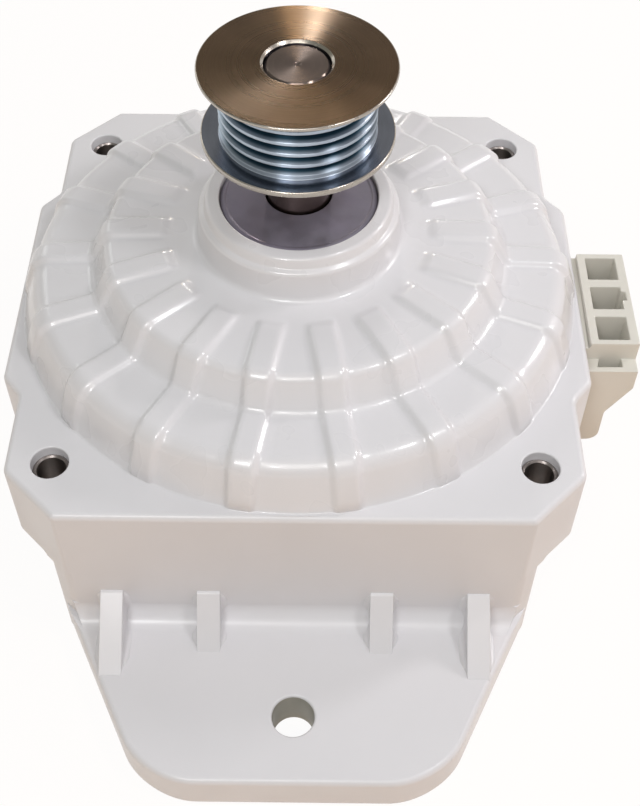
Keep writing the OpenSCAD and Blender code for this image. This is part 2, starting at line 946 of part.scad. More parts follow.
// End insulator on the stator's upper face; the rear one is its mirror image
module insulator() {
  inner_wall_r = bore_r + tip_t + 0.2;
  wrap_outer_r = yoke_r - 0.3;
  wall_inner_r = yoke_r - 0.1;
  half = stack_height / 2;
  difference() {
    union() {
      linear_extrude(insulator_t) {
        annulus(yoke_r + insulator_overhang, wall_inner_r);
        teeth_2d(tooth_width + 2 * wrap_t, bore_r + 1, yoke_r + 0.5);
        tips_2d(bore_r + 0.4, inner_wall_r, slot_mouth + 0.6);
      }
      ring(wall_inner_r + insulator_wall, wall_inner_r, insulator_t - 0.1, insulator_t + insulator_wall_height);
      translate([0, 0, insulator_t - 0.1])
        linear_extrude(insulator_wall_height)
          tips_2d(bore_r + 0.6, inner_wall_r, slot_mouth + 0.6);
      translate([0, 0, -half + 0.1])
        linear_extrude(half)
          difference() {
            teeth_2d(tooth_width + 2 * wrap_t, inner_wall_r, wrap_outer_r);
            teeth_2d(tooth_width + 2 * mould_gap, inner_wall_r - 1, wrap_outer_r + 1);
          }
    }
    translate([0, 0, insulator_t + insulator_wall_height])
      rotate_extrude()
        translate([wall_inner_r + insulator_wall / 2, 0])
          circle(joining_wire_r + press_gap);
  }
}

module stator_insulator_front() {
  color("ivory")
    translate([0, 0, stack_top])
      insulator();
}

module stator_insulator_rear() {
  color("ivory")
    translate([0, 0, stack_bottom])
      mirror([0, 0, 1])
        insulator();
}

module coil() {
  inner_x = bore_r + tip_t + 0.7;
  outer_x = yoke_r - 0.9;
  spread = tan(tooth_step / 2);
  height = stack_height + 2 * (insulator_t + end_turn);
  opening = stack_height + 2 * (insulator_t + mould_gap);
  wide = outer_x * spread - coil_gap;
  narrow = inner_x * spread - coil_gap;
  round_r = 3;
  difference() {
    intersection() {
      linear_extrude(height)
        polygon([[inner_x, -narrow], [outer_x, -wide], [outer_x, wide], [inner_x, narrow]]);
      translate([inner_x - cut, 0, 0])
        rotate([90, 0, 90])
          linear_extrude(outer_x - inner_x + 2 * cut) {
            for (x = [-wide + round_r, wide - round_r])
              for (y = [round_r, height - round_r])
                translate([x, y])
                  circle(round_r);
            translate([-wide + round_r, 0])
              square([2 * (wide - round_r), height]);
            translate([-wide, round_r])
              square([2 * wide, height - 2 * round_r]);
          }
    }
    translate([inner_x - cut, -tooth_width / 2 - wrap_t - mould_gap, (height - opening) / 2])
      cube([outer_x - inner_x + 2 * cut, tooth_width + 2 * (wrap_t + mould_gap), opening]);
  }
}

module stator_coils() {
  color("peru")
    translate([0, 0, stack_bottom - insulator_t - end_turn])
      for (i = [0 : tooth_count - 1])
        rotate([0, 0, i * tooth_step])
          coil();
}

module star_point_ring() {
  color("peru")
    translate([0, 0, stack_bottom - insulator_t - insulator_wall_height])
      rotate_extrude()
        translate([yoke_r - 0.1 + insulator_wall / 2, 0])
          circle(joining_wire_r);
}

// Rotor

module rotor_core() {
  color("slategray")
    translate([0, 0, stack_bottom])
      linear_extrude(stack_height)
        difference() {
          circle(rotor_core_r);
          circle(shaft_middle_d / 2 + press_gap);
          for (i = [0 : core_hole_count - 1])
            rotate(i * 360 / core_hole_count)
              translate([(rotor_core_r + shaft_middle_d / 2) / 2, 0])
                circle(core_hole_r);
        }
}

module rotor_magnets() {
  step = 360 / magnet_count;
  color("darkslategray")
    translate([0, 0, stack_bottom])
      linear_extrude(stack_height)
        intersection() {
          annulus(rotor_r, rotor_core_r + press_gap);
          for (i = [0 : magnet_count - 1])
            rotate(i * step)
              wedge(step / 2 - 0.8, rotor_r + 1);
        }
}

module rotor_end_ring() {
  ring(rotor_r - 0.3, shaft_middle_d / 2 + end_ring_inset, 0, end_ring_t);
  for (i = [0 : core_hole_count - 1])
    rotate([0, 0, i * 360 / core_hole_count])
      translate([rotor_core_r - rivet_r - 0.5, 0, end_ring_t - 0.1])
        cylinder(r = rivet_r, h = rivet_height + 0.1);
}

module rotor_end_ring_front() {
  color("lightgray")
    translate([0, 0, stack_top])
      rotor_end_ring();
}

module rotor_end_ring_rear() {
  color("lightgray")
    translate([0, 0, stack_bottom])
      mirror([0, 0, 1])
        rotor_end_ring();
}

// Plug housing and terminals

function cell_y(i) = plug_rear_y - plug_end_wall - cell_size / 2 - i * cell_pitch;

// Stamped blank of a terminal in the XZ plane, grown by gap
module terminal_2d(tail_x, gap) {
  blade_z0 = plug_top - cell_depth - 2.5;
  blade_z1 = plug_top - cell_depth + 6.3;
  neck_x0 = body_half + 3;
  translate([cell_x - terminal_width / 2 - gap, blade_z0 - gap])
    square([terminal_width + 2 * gap, blade_z1 - blade_z0 + 2 * gap]);
  translate([neck_x0 - gap, tail_z - tail_height / 2 - gap])
    square([2 + 2 * gap, blade_z0 - tail_z + tail_height / 2 + gap + 0.5]);
  translate([tail_x - gap, tail_z - tail_height / 2 - gap])
    square([neck_x0 + 1 - tail_x + 2 * gap, tail_height + 2 * gap]);
}

module terminal_solid(i, tail_x, gap) {
  translate([0, cell_y(i) + terminal_t / 2 + gap, 0])
    rotate([90, 0, 0])
      linear_extrude(terminal_t + 2 * gap)
        terminal_2d(tail_x, gap);
}

module terminal(i) {
  wall_r = yoke_r - 0.1 + insulator_wall;
  near_y = abs(cell_y(i)) - terminal_t / 2;
  color("gold")
    terminal_solid(i, sqrt(wall_r * wall_r - near_y * near_y) + 0.1, 0);
}

module plug_profile() {
  slope_x = plug_outer_x - 4.5;
  polygon(rounded([
    [body_half, -6.5, 0],
    [plug_inner_x, -6.5, 0],
    [plug_inner_x, plug_top, 0],
    [plug_outer_x, plug_top, 0],
    [plug_outer_x, plug_top - cell_depth + 0.8, 1.5],
    [slope_x, plug_top - cell_depth - 7, 1.5],
    [slope_x, plug_base, 2.5],
    [body_half, plug_base, 0]
  ]));
}

module connector_housing() {
  length = plug_rear_y - plug_front_y;
  spigot_y0 = latch_rear_y + plug_end_wall;
  spigot_y1 = plug_rear_y - plug_end_wall;
  latch_top = plug_top - latch_drop;
  color("cornsilk")
    difference() {
      union() {
        translate([0, plug_rear_y, 0])
          rotate([90, 0, 0])
            linear_extrude(length)
              plug_profile();
        translate([lower_cavity_r + 0.2, spigot_y0, tail_z - spigot_height / 2])
          cube([body_half - lower_cavity_r + 0.5, spigot_y1 - spigot_y0, spigot_height]);
      }
      for (i = [0 : cell_count - 1]) {
        translate([cell_x - cell_size / 2, cell_y(i) - cell_size / 2, plug_top - cell_depth])
          cube([cell_size, cell_size, cell_depth + cut]);
        terminal_solid(i, body_half - terminal_reach, mould_gap);
      }
      translate([cell_x + cell_size / 2 - 0.1, cell_y(1) - key_groove[1] / 4, plug_top - cell_depth])
        cube([key_groove[0], key_groove[1], cell_depth + cut]);
      translate([body_half - cut, plug_front_y - cut, latch_top])
        cube([plug_width + plug_gap + 2 * cut, latch_rear_y - plug_front_y + cut, latch_drop + cut]);
      translate([plug_inner_x + 2, latch_rear_y - latch_slot, latch_top - latch_recess_depth])
        cube([latch_recess_length, latch_slot, latch_recess_depth + cut]);
    }
}

motor_housing();
front_bearing_cup();
sleeve(-1, -1);  // sleeve_front_left
sleeve(1, -1);  // sleeve_front_right
sleeve(-1, 1);  // sleeve_rear_left
sleeve(1, 1);  // sleeve_rear_right
shaft();
pulley();
connector_housing();
terminal(0);  // terminal_u
terminal(1);  // terminal_v
terminal(2);  // terminal_w
bearing_outer_ring(front_bearing_z);  // front_bearing_outer_ring
bearing_inner_ring(front_bearing_z);  // front_bearing_inner_ring
bearing_balls(front_bearing_z);  // front_bearing_balls
bearing_cage(front_bearing_z);  // front_bearing_cage
bearing_shields(front_bearing_z);  // front_bearing_shields
bearing_outer_ring(rear_bearing_z);  // rear_bearing_outer_ring
bearing_inner_ring(rear_bearing_z);  // rear_bearing_inner_ring
bearing_balls(rear_bearing_z);  // rear_bearing_balls
bearing_cage(rear_bearing_z);  // rear_bearing_cage
bearing_shields(rear_bearing_z);  // rear_bearing_shields
wave_washer();
stator_core();
stator_insulator_front();
stator_insulator_rear();
stator_coils();
star_point_ring();
rotor_core();
rotor_magnets();
rotor_end_ring_front();
rotor_end_ring_rear();
rear_cover();
rear_cover_screws();
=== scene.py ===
import json
import math

import bmesh
import bpy
from bpy.props import FloatProperty, FloatVectorProperty, IntProperty, PointerProperty
from bpy.types import Operator, Panel, PropertyGroup
from mathutils import Matrix, Vector


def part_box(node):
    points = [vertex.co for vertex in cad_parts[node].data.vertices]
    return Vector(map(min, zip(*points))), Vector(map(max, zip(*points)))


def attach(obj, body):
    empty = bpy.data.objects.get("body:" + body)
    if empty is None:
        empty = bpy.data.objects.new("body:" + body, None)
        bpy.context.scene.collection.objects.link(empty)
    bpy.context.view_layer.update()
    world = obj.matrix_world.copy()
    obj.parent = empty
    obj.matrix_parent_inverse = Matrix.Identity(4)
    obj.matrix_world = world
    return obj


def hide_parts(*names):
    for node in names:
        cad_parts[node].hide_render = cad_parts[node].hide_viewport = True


bl_info = {
    "name": "Washing machine motor",
    "version": (1, 0, 0),
    "blender": (4, 5, 0),
    "location": "3D View > Sidebar > Motor",
    "description": "Dresses a belt-drive washing machine motor: moulded housing, steel pulley and plug housing",
    "category": "Object",
}

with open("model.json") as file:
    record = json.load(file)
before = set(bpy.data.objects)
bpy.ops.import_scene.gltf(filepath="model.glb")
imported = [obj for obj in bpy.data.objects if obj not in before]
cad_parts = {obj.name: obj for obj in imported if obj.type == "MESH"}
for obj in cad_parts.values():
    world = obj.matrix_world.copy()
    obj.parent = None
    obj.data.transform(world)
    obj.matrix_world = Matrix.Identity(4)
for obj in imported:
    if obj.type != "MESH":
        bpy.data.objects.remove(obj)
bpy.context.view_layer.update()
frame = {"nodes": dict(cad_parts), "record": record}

MM = 0.001
# Clearances, and how far a point may stand off a place and still count as there
HAIR, CLOSE, NEAR = 0.01 * MM, 0.05 * MM, 0.1 * MM
# How far a cutter reaches past what it cuts
OVERCUT = 1 * MM
# Distance in metres under which points become one
WELD = 1e-7
WHITE = (1, 1, 1)
# Share of each colour channel in the brighter patches of the cup's steel
COOL = (1.0, 0.97, 1.03)
HOUSING_LOW, HOUSING_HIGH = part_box("motor_housing")
PULLEY_LOW, PULLEY_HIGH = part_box("pulley")
PLUG_LOW, PLUG_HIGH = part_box("connector_housing")
SHAFT_LOW, SHAFT_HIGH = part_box("shaft")
CUP_LOW, CUP_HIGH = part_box("front_bearing_cup")
SLEEVE_LOW, SLEEVE_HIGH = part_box("sleeve_front_right")


# Settings


def length(name, description, mm):
    """A size that shows in the panel, given in millimetres."""
    return FloatProperty(name=name, description=description, default=mm * MM, unit="LENGTH", precision=4)


def angle(name, description, degrees):
    """An angle that shows in the panel, given in degrees."""
    return FloatProperty(name=name, description=description, default=math.radians(degrees), subtype="ANGLE")


def power(name, description, watts):
    """A lamp's power that shows in the panel, given in watts."""
    return FloatProperty(name=name, description=description, default=watts, min=0, unit="POWER", precision=3)


def colour(name, description, red, green, blue):
    """A colour that shows in the panel, given as 0 to 255 values."""
    return FloatVectorProperty(
        name=name, description=description, default=linear_rgb(red, green, blue), subtype="COLOR", min=0, max=1
    )


def linear_rgb(red, green, blue):
    """Linear values of a colour that is given as 0 to 255 values."""
    shares = (value / 255 for value in (red, green, blue))
    return tuple(s / 12.92 if s <= 0.04045 else ((s + 0.055) / 1.055) ** 2.4 for s in shares)


class DomeSizes(PropertyGroup):
    foot_r: length("Foot radius", "Radius of the dome's wall at the flange", 55.8)
    edge_r: length("Shoulder radius", "Radius at which the outer tier begins", 52.3)
    edge_height: length("Outer tier edge", "Height of the outer tier at its shoulder", 9.3)
    outer_top: length("Outer tier top", "Height of the outer tier where it meets the inner tier", 9.7)
    outer_inner_r: length("Tier step radius", "Radius at which the outer tier ends", 41.0)
    inner_r: length("Inner tier radius", "Radius of the inner tier's shoulder", 37.6)
    inner_edge: length("Inner tier edge", "Height of the inner tier at its shoulder", 16.1)
    inner_top: length("Inner tier top", "Height of the inner tier at the collar", 16.8)
    collar_r: length("Collar radius", "Radius of the collar's outer wall", 19.3)
    mouth_r: length("Collar mouth", "Inner radius of the collar, round the bearing cup", 15.15)
    wall: length("Wall", "Wall thickness of the dome", 2.2)
    cavity_r: length("Cavity radius", "Inner radius of the housing round the stator", 51.05)
    rib_count: IntProperty(name="Ribs", description="Number of raised ribs", default=18, min=6, max=36)
    rib_rise: length("Rib rise", "Height of a rib above the dome", 0.9)
    rib_top: length("Rib top", "Half width of a rib's flat top", 1.7)
    rib_foot: length("Rib foot", "Half width of a rib at its foot", 3.3)
    rib_start: length("Rib start", "Radius at which the ribs reach their full height", 27.4)


class FlangeSizes(PropertyGroup):
    body_half: length("Half width", "Half of the body's width across its flat sides", 57.1)
    ear_half: length("Half width at the ears", "Half of the width across the ears", 53.4)
    corner_cut: length("Corner cut", "Flat across each corner", 10.2)
    bulge_half: length("Bulge", "Half of the straight part of the side bulge", 24.5)
    bulge_slant: length("Bulge slant", "Slant between an ear and the side bulge", 4.5)
    thickness: length("Thickness", "Thickness of the flange at the ears", 19.2)
    hole_reach: length("Hole reach", "Distance of an ear hole from either centre plane", 45.0)
    hole_r: length("Hole radius", "Radius of an ear hole in the moulding", 3.5)
    hole_bevel: length("Hole bevel", "Rounding of an ear hole's upper edge", 0.35)
    edge_round: length("Edge rounding", "Rounding of the upper edge", 1.25)
    under_round: length("Underside rounding", "Rounding of the lower edge under the ears", 1.0)
    corner_round: length("Corner rounding", "Rounding of the upright corners at the front wall", 1.4)
    ear_round: length("Ear rounding", "Rounding of the other upright corners", 2.4)


class BodySizes(PropertyGroup):
    drum_r: length("Drum radius", "Radius of the round body under the flange", 57.0)
    wall_half: length("Front wall", "Half width of the front wall's flat face", 43.2)
    wall_back_half: length("Front wall's back", "Half width of the front wall behind its cut corners", 46.5)
    wall_t: length("Front wall's thickness", "Thickness of the front wall at its ends", 4.5)
    boss_r: length("Boss radius", "Radius of the bosses round the cover screws", 6.9)
    lug_r: length("Lug radius", "Radius of the pockets for the rear cover's lugs", 5.1)
    screw_reach: length("Screw reach", "Distance of a cover screw from the axis", 56.5)
    screw_angle: angle("Screw angle", "Angle of a cover screw from the X axis", 62)
    screw_r: length("Screw hole", "Radius of a cover screw's hole", 2.0)
    screw_depth: length("Screw depth", "Depth of a cover screw's hole over the seat", 11.0)
    step_z: length("Bore step", "Height of the step between the bore and the cavity", -22.6)
    seat_depth: length("Seat depth", "Depth of the rear cover's seat", 4.3)
    seat_r: length("Seat radius", "Radius of the pocket for the rear cover", 52.8)
    bore_r: length("Bore radius", "Inner radius of the body under the stator", 49.6)


class FootSizes(PropertyGroup):
    thickness: length("Thickness", "Thickness of the foot plate", 9.1)
    corner_x: length("Corner spacing", "Half distance between the centres of the round corners", 17.8)
    corner_r: length("Corner radius", "Radius of the round corners", 15.7)
    root_x: length("Root width", "Half width of the foot plate where it meets the wall's cut corner", 45.75)
    hole_reach: length("Hole reach", "Distance of the foot's hole from the shaft axis", 78.4)
    hole_r: length("Hole radius", "Radius of the foot's hole", 4.0)
    fillet: length("Fillet", "Fillet between the front wall and the foot plate", 4.2)
    edge_round: length("Edge rounding", "Rounding of the foot plate's upper edge", 1.2)
    small_round: length("Small rounding", "Rounding of the lower edge and the hole's edge", 0.5)
    gusset_height: length("Gusset height", "Height of a gusset above the foot plate", 9.2)
    gusset_t: length("Gusset thickness", "Thickness of a gusset", 4.4)
    gusset_round: length("Gusset rounding", "Rounding of a gusset's ridge", 0.7)
    gusset_flare: length("Gusset flare", "Fillet beside the root of a gusset", 1.2)
    outer_x: length("Outer gusset", "Distance of an outer gusset from the centre plane", 35.3)
    outer_reach: length("Outer reach", "Reach of an outer gusset along the foot plate", 13.4)
    inner_x: length("Inner gusset", "Distance of an inner gusset from the centre plane", 16.7)
    inner_reach: length("Inner reach", "Reach of an inner gusset along the foot plate", 8.2)


class SteelSizes(PropertyGroup):
    shaft_r: length("Shaft radius", "Radius of the shaft in its bearings", 6.0)
    shaft_middle_r: length("Rotor seat", "Radius of the shaft under the rotor", 7.5)
    shaft_bevel: length("Shaft bevel", "Bevel at the shaft's ends", 0.7)
    centre_r: length("Centre hole", "Radius of the centre hole in the shaft's ends", 0.7)
    sleeve_bore_r: length("Sleeve bore", "Radius of the bore of an ear's sleeve", 2.75)
    sleeve_bevel: length("Sleeve bevel", "Bevel at a sleeve's ends", 0.3)
    cup_t: length("Cup sheet", "Sheet thickness of the bearing cup", 1.1)
    cup_proud: length("Cup's stand", "Height of the cup's edge over the ledge that the frame gives", 0.35)
    cup_r: length("Cup radius", "Outer radius of the bearing cup", 15.1)
    cup_hole_r: length("Cup hole", "Radius of the cup's hole round the shaft", 6.35)
    cup_round: length("Cup rounding", "Rounding of the cup's edge", 0.9)
    cup_lip: length("Cup lip", "Width of the pressed step round the cup's face", 0.4)
    cup_crown: length("Cup crown", "Height of the cup's middle above its edge", 1.1)


class PulleySizes(PropertyGroup):
    flange_t: length("Flange", "Thickness of a pulley flange", 1.2)
    core_r: length("Core radius", "Radius over the grooves", 14.25)
    groove_count: IntProperty(name="Grooves", description="Number of belt grooves", default=5, min=1, max=8)
    groove_pitch: length("Groove pitch", "Distance between neighbouring grooves", 2.34)
    groove_depth: length("Groove depth", "Depth of a groove", 1.95)
    groove_margin: length("Margin", "Distance from a flange to the first groove", 1.8)
    edge_round: length("Edge rounding", "Rounding of the flanges' rims", 0.35)
    bore_bevel: length("Bore bevel", "Bevel round the bore", 0.45)
    face_fall: length("Face fall", "Fall of the outer face from the bore to the rim", 0.45)


class PlugSizes(PropertyGroup):
    seat_x: length("Seat", "Distance of the plug housing's seat from the shaft axis", 57.1)
    inner_x: length("Inner side", "Distance of the cells' block from the shaft axis", 58.2)
    cell_x: length("Cell centre", "Distance of the cells from the shaft axis", 63.02)
    cell: length("Cell", "Side of a square cell", 6.2)
    cell_count: IntProperty(name="Cells", description="Number of cells", default=3, min=2, max=6)
    cell_depth: length("Cell depth", "Depth of a cell", 10.5)
    pitch: length("Pitch", "Distance between neighbouring cells", 8.4)
    end_wall: length("End wall", "Wall at the rear end and beside the latch", 1.3)
    latch_drop: length("Latch block", "Depth of the latch block below the top", 4.5)
    latch_slot: length("Latch slot", "Length of the latch slot", 2.0)
    edge_round: length("Edge rounding", "Rounding of the edges", 0.28)


class Finishes(PropertyGroup):
    # Painted shade: the darker grey of the foot hole's walls stands in for the shade inside the hole.
    bore: colour("Foot bore", "Grey of the foot's bare bore", 166, 163, 151)
    moulding: colour("Moulding", "Glossy white of the housing", 222, 221, 224)
    plug: colour("Plug housing", "Ivory of the plug housing", 220, 217, 208)
    # The warm brown of this steel is a painted reflection of a warm room.
    steel: colour("Turned steel", "Bare steel of the pulley's outer faces", 122, 100, 78)
    # The bluish tint is partly the plating and partly a painted reflection of bluish light.
    grooves: colour("Plated steel", "Bluish plating in the belt grooves", 198, 209, 221)
    # Painted highlight: this brighter steel on the rims and the bore bevel stands in for the light that they
    # catch.
    rim: colour("Polished steel", "Steel of the pulley's rims and bevels, rubbed bright", 186, 178, 168)
    cup: colour("Pressed steel", "Grey of the bearing cup", 138, 134, 146)
    sleeve: colour("Sleeve steel", "Grey steel of the ears' sleeves", 168, 160, 156)
    cover: colour("Plated sheet", "Zinc plated sheet of the rear cover", 178, 180, 182)


class StageSettings(PropertyGroup):
    elevation: angle("Elevation", "Height of the view above the horizon", 50.934)
    yaw: angle("Yaw", "Turn of the view round the shaft", -0.2325)
    roll: angle("Roll", "Roll of the camera", 0.4184)
    distance: length("Distance", "Distance from the camera to the origin along the view", 257.5)
    right: length("Right", "Place of the origin to the right of the view's middle", -4.122)
    up: length("Up", "Place of the origin above the view's middle", 23.625)
    lens: FloatProperty(name="Lens", description="Focal length in mm for a 36 mm sensor", default=55.918)
    front_power: power("Front lamp", "Power of the lamp above the camera", 0.42)
    fill_power: power("Fill", "Power of the broad light in front", 0.44)
    side_power: power("Side lamp", "Power of the lamp on the right", 0.34)
    key_power: power("Key lamp", "Power of the high lamp at the right front", 0.47)
    window_power: power("Window", "Power of the light from the left rear", 0.12)
    back_power: power("Back lamp", "Power of the lamp behind the motor", 0.11)
    room: FloatProperty(name="Room light", description="Strength of the light from all round", default=0.47)


# Mesh tools


def link_up(bm, verts, closed):
    """Edges from each vertex to the next, and back to the first where the line is closed."""
    for pair in zip(verts, verts[1:] + (verts[:1] if closed else [])):
        bm.edges.new(pair)


def chain(bm, points, closed=False):
    """Edges through (radius, height) points in the XZ plane; a third value rounds that corner to its radius."""
    verts = [bm.verts.new((p[0], 0, p[1])) for p in points]
    link_up(bm, verts, closed)
    round_corners(bm, [(v, p[2]) for v, p in zip(verts, points) if len(p) > 2 and p[2]])
    return verts


def bevel(bm, geom, width, segments=3, clamped=False, affect="EDGES"):
    """Rounds edges, or the corners of a line of edges."""
    bmesh.ops.bevel(
        bm, geom=list(geom), offset=width, offset_type="OFFSET", segments=segments, profile=0.5,
        affect=affect, clamp_overlap=clamped, material=-1,
    )


def arc_segments(radius):
    """How many segments keep a rounded corner of this radius smooth."""
    return 5 if radius < 2 * MM else 9 if radius < 6 * MM else 24


def round_corners(bm, corners):
    """Rounds corners of a line of edges, each a vertex and its radius."""
    cuts = []
    for vert, radius in corners:
        a, b = [edge.other_vert(vert).co - vert.co for edge in vert.link_edges]
        cuts.append((vert, radius / math.tan(a.angle(b) / 2), arc_segments(radius)))
    for vert, width, segments in cuts:
        bevel(bm, [vert], width, segments, affect="VERTICES")


def turned(points, steps=256):
    """A closed outline of (radius, height, rounding) points, spun round the Z axis."""
    bm = bmesh.new()
    on_axis = points[0][0] == 0 and points[-1][0] == 0
    chain(bm, points, closed=not on_axis)
    turn(bm, steps)
    return bm


def turn(bm, steps):
    """Spins everything once round the Z axis and closes the poles."""
    bmesh.ops.spin(
        bm, geom=bm.verts[:] + bm.edges[:], cent=(0, 0, 0), axis=(0, 0, 1), dvec=(0, 0, 0),
        angle=math.tau, steps=steps, use_merge=True, use_duplicate=False,
    )
    bmesh.ops.remove_doubles(bm, verts=bm.verts, dist=1e-6)
    bmesh.ops.recalc_face_normals(bm, faces=bm.faces)


def thicken(bm, thickness, start):
    """Extrudes all faces by one vector, moves the body by another and turns its faces outward."""
    grown = bmesh.ops.extrude_face_region(bm, geom=bm.faces[:])
    far = [g for g in grown["geom"] if isinstance(g, bmesh.types.BMVert)]
    bmesh.ops.translate(bm, vec=thickness, verts=far)
    bmesh.ops.translate(bm, vec=start, verts=bm.verts)
    bmesh.ops.recalc_face_normals(bm, faces=bm.faces)


def slab(bm, low, high):
    """Closes the outline in the XY plane that bm holds, with its holes, and gives it a thickness."""
    bmesh.ops.triangle_fill(bm, use_beauty=True, use_dissolve=False, edges=bm.edges[:])
    thicken(bm, (0, 0, low - high), (0, 0, high))


def circle(bm, x, y, radius, segments):
    """A round loop of edges in the XY plane."""
    bmesh.ops.create_circle(bm, segments=segments, radius=radius, matrix=Matrix.Translation((x, y, 0)))


def post(x, y, radius, low, high, segments):
    """An upright cylinder."""
    bm = bmesh.new()
    circle(bm, x, y, radius, segments)
    slab(bm, low, high)
    return bm


def prism(points, low, high):
    """An upright block over a closed outline in the XY plane."""
    bm = bmesh.new()
    link_up(bm, [bm.verts.new((x, y, 0)) for x, y in points], True)
    slab(bm, low, high)
    return bm


def side_view(points, thickness, middle):
    """A plate standing across the X axis, from its side view of (y, z, rounding) points."""
    bm = bmesh.new()
    chain(bm, points, closed=True)
    bmesh.ops.rotate(bm, cent=(0, 0, 0), matrix=Matrix.Rotation(math.pi / 2, 3, "Z"), verts=bm.verts)
    bmesh.ops.contextual_create(bm, geom=bm.edges[:])
    thicken(bm, (thickness, 0, 0), (middle - thickness / 2, 0, 0))
    return bm


def block(low, high):
    """A box between two corners."""
    bm = bmesh.new()
    bmesh.ops.create_cube(bm, size=1)
    low, high = Vector(low), Vector(high)
    bmesh.ops.scale(bm, vec=high - low, verts=bm.verts)
    bmesh.ops.translate(bm, vec=(low + high) / 2, verts=bm.verts)
    return bm


def bisect(bm, place, normal, **options):
    """Cuts everything with a plane."""
    geom = bm.verts[:] + bm.edges[:] + bm.faces[:]
    return bmesh.ops.bisect_plane(bm, geom=geom, dist=WELD, plane_co=place, plane_no=normal, **options)


def rise(edge):
    """Difference in height between an edge's ends."""
    return abs(edge.verts[0].co.z - edge.verts[1].co.z)


def edges_where(bm, test, sharper_than=60):
    """Edges whose faces turn by more than an angle and whose two ends pass a test."""
    least = math.radians(sharper_than)
    return [
        e for e in bm.edges
        if e.is_manifold and e.calc_face_angle(0) > least and all(test(v.co) for v in e.verts)
    ]


def as_object(name, bm):
    """Turns a finished mesh into an object of the scene."""
    mesh = bpy.data.meshes.new(name)
    bm.to_mesh(mesh)
    bm.free()
    thing = bpy.data.objects.new(name, mesh)
    bpy.context.scene.collection.objects.link(thing)
    return thing


def joined(operation, base, tools):
    """Joins closed meshes to a closed mesh, or cuts them from it."""
    body = as_object("base", base)
    others = [as_object("tool", tool) for tool in tools]
    holder = bpy.data.collections.new("tools")
    bpy.context.scene.collection.children.link(holder)
    for other in others:
        holder.objects.link(other)
    modifier = body.modifiers.new("Join", "BOOLEAN")
    modifier.operation = operation
    modifier.operand_type = "COLLECTION"
    modifier.collection = holder
    modifier.solver = "EXACT"
    result = bmesh.new()
    result.from_object(body, bpy.context.evaluated_depsgraph_get())
    for thing in [body] + others:
        mesh = thing.data
        bpy.data.objects.remove(thing)
        bpy.data.meshes.remove(mesh)
    bpy.data.collections.remove(holder)
    bmesh.ops.remove_doubles(result, verts=result.verts, dist=WELD)
    bmesh.ops.dissolve_degenerate(result, dist=WELD, edges=result.edges[:])
    bmesh.ops.dissolve_limit(
        result, angle_limit=math.radians(0.05), verts=result.verts[:], edges=result.edges[:]
    )
    return result


def finish_piece(name, bm, body, slot, looks, nodes, sharp=35, weighted=True):
    """Makes the finished mesh a piece that rides on its body and stands for CAD nodes."""
    bmesh.ops.remove_doubles(bm, verts=bm.verts, dist=WELD)
    bmesh.ops.recalc_face_normals(bm, faces=bm.faces)
    if bm.calc_volume() < 0:
        bmesh.ops.reverse_faces(bm, faces=bm.faces)
    piece = as_object(name, bm)
    for look in looks:
        piece.data.materials.append(finish(look))
    piece.data.shade_smooth()
    piece.data.set_sharp_from_angle(angle=math.radians(sharp))
    if weighted:
        modifier = piece.modifiers.new("Weighted normals", "WEIGHTED_NORMAL")
        modifier.keep_sharp = True
    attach(piece, body)
    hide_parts(*nodes)


def moulded(name, bm, looks=("satin_moulding",), **how):
    """Makes the finished mesh a piece of the white moulding."""
    finish_piece(name, bm, "motor_body", "white_moulding", looks, ["motor_housing"], **how)


def smooth_step(low, high, value):
    """Rises smoothly from 0 to 1 between two values."""
    share = min(max((value - low) / (high - low), 0), 1)
    return share * share * (3 - 2 * share)


# Finishes


class Nodes:
    """A node tree that is being filled."""

    def __init__(self, tree):
        self.tree = tree

    def link(self, output, socket):
        """Leads an output into a socket."""
        self.tree.links.new(output, socket)

    def node(self, kind, inputs=None, **settings):
        """Adds a node, with its sockets set to values or linked to other nodes' outputs."""
        made = self.tree.nodes.new("ShaderNode" + kind)
        for name, value in settings.items():
            setattr(made, name, value)
        for key, value in (inputs or {}).items():
            if isinstance(value, bpy.types.NodeSocket):
                self.link(value, made.inputs[key])
            else:
                made.inputs[key].default_value = value
        return made

    def number(self, operation, *values):
        """Result of a sum on numbers."""
        return self.node("Math", dict(enumerate(values)), operation=operation).outputs[0]

    def vector(self, operation, *values):
        """Result of a sum on vectors or colours."""
        made = self.node("VectorMath", dict(enumerate(values)), operation=operation)
        return made.outputs["Value" if operation == "LENGTH" else "Vector"]

    def along(self, vector, axis):
        """One of a vector's three values."""
        return self.node("SeparateXYZ", {"Vector": vector}).outputs[axis]

    def span(self, value, start, end, low=0.0, high=1.0, way="LINEAR"):
        """Stretches what lies between two values over another range."""
        inputs = {"Value": value, "From Min": start, "From Max": end, "To Min": low, "To Max": high}
        return self.node("MapRange", inputs, interpolation_type=way).outputs["Result"]

    def ramp(self, factor, stops, way="EASE"):
        """Blends between colours, each with its place on the factor's scale."""
        made = self.node("ValToRGB", {"Fac": factor})
        blend = made.color_ramp
        blend.interpolation = way
        while len(blend.elements) < len(stops):
            blend.elements.new(0.5)
        for element, (place, tone) in zip(blend.elements, stops):
            element.position = place
            element.color = (*tone, 1)
        return made.outputs["Color"]

    def seen(self):
        """1 where the camera looks, straight, in a reflection or through glass, and 0 for other light."""
        rays = self.node("LightPath").outputs
        plain = self.number("MAXIMUM", rays["Is Camera Ray"], rays["Is Glossy Ray"])
        return self.number("MAXIMUM", plain, rays["Is Transmission Ray"])

    def mixed(self, share, first, second, output):
        """Sends a blend of two nodes' shaders to the output node."""
        mix = self.node("MixShader", {0: share, 1: first.outputs[0], 2: second.outputs[0]})
        self.link(mix.outputs[0], self.tree.nodes[output].inputs[0])


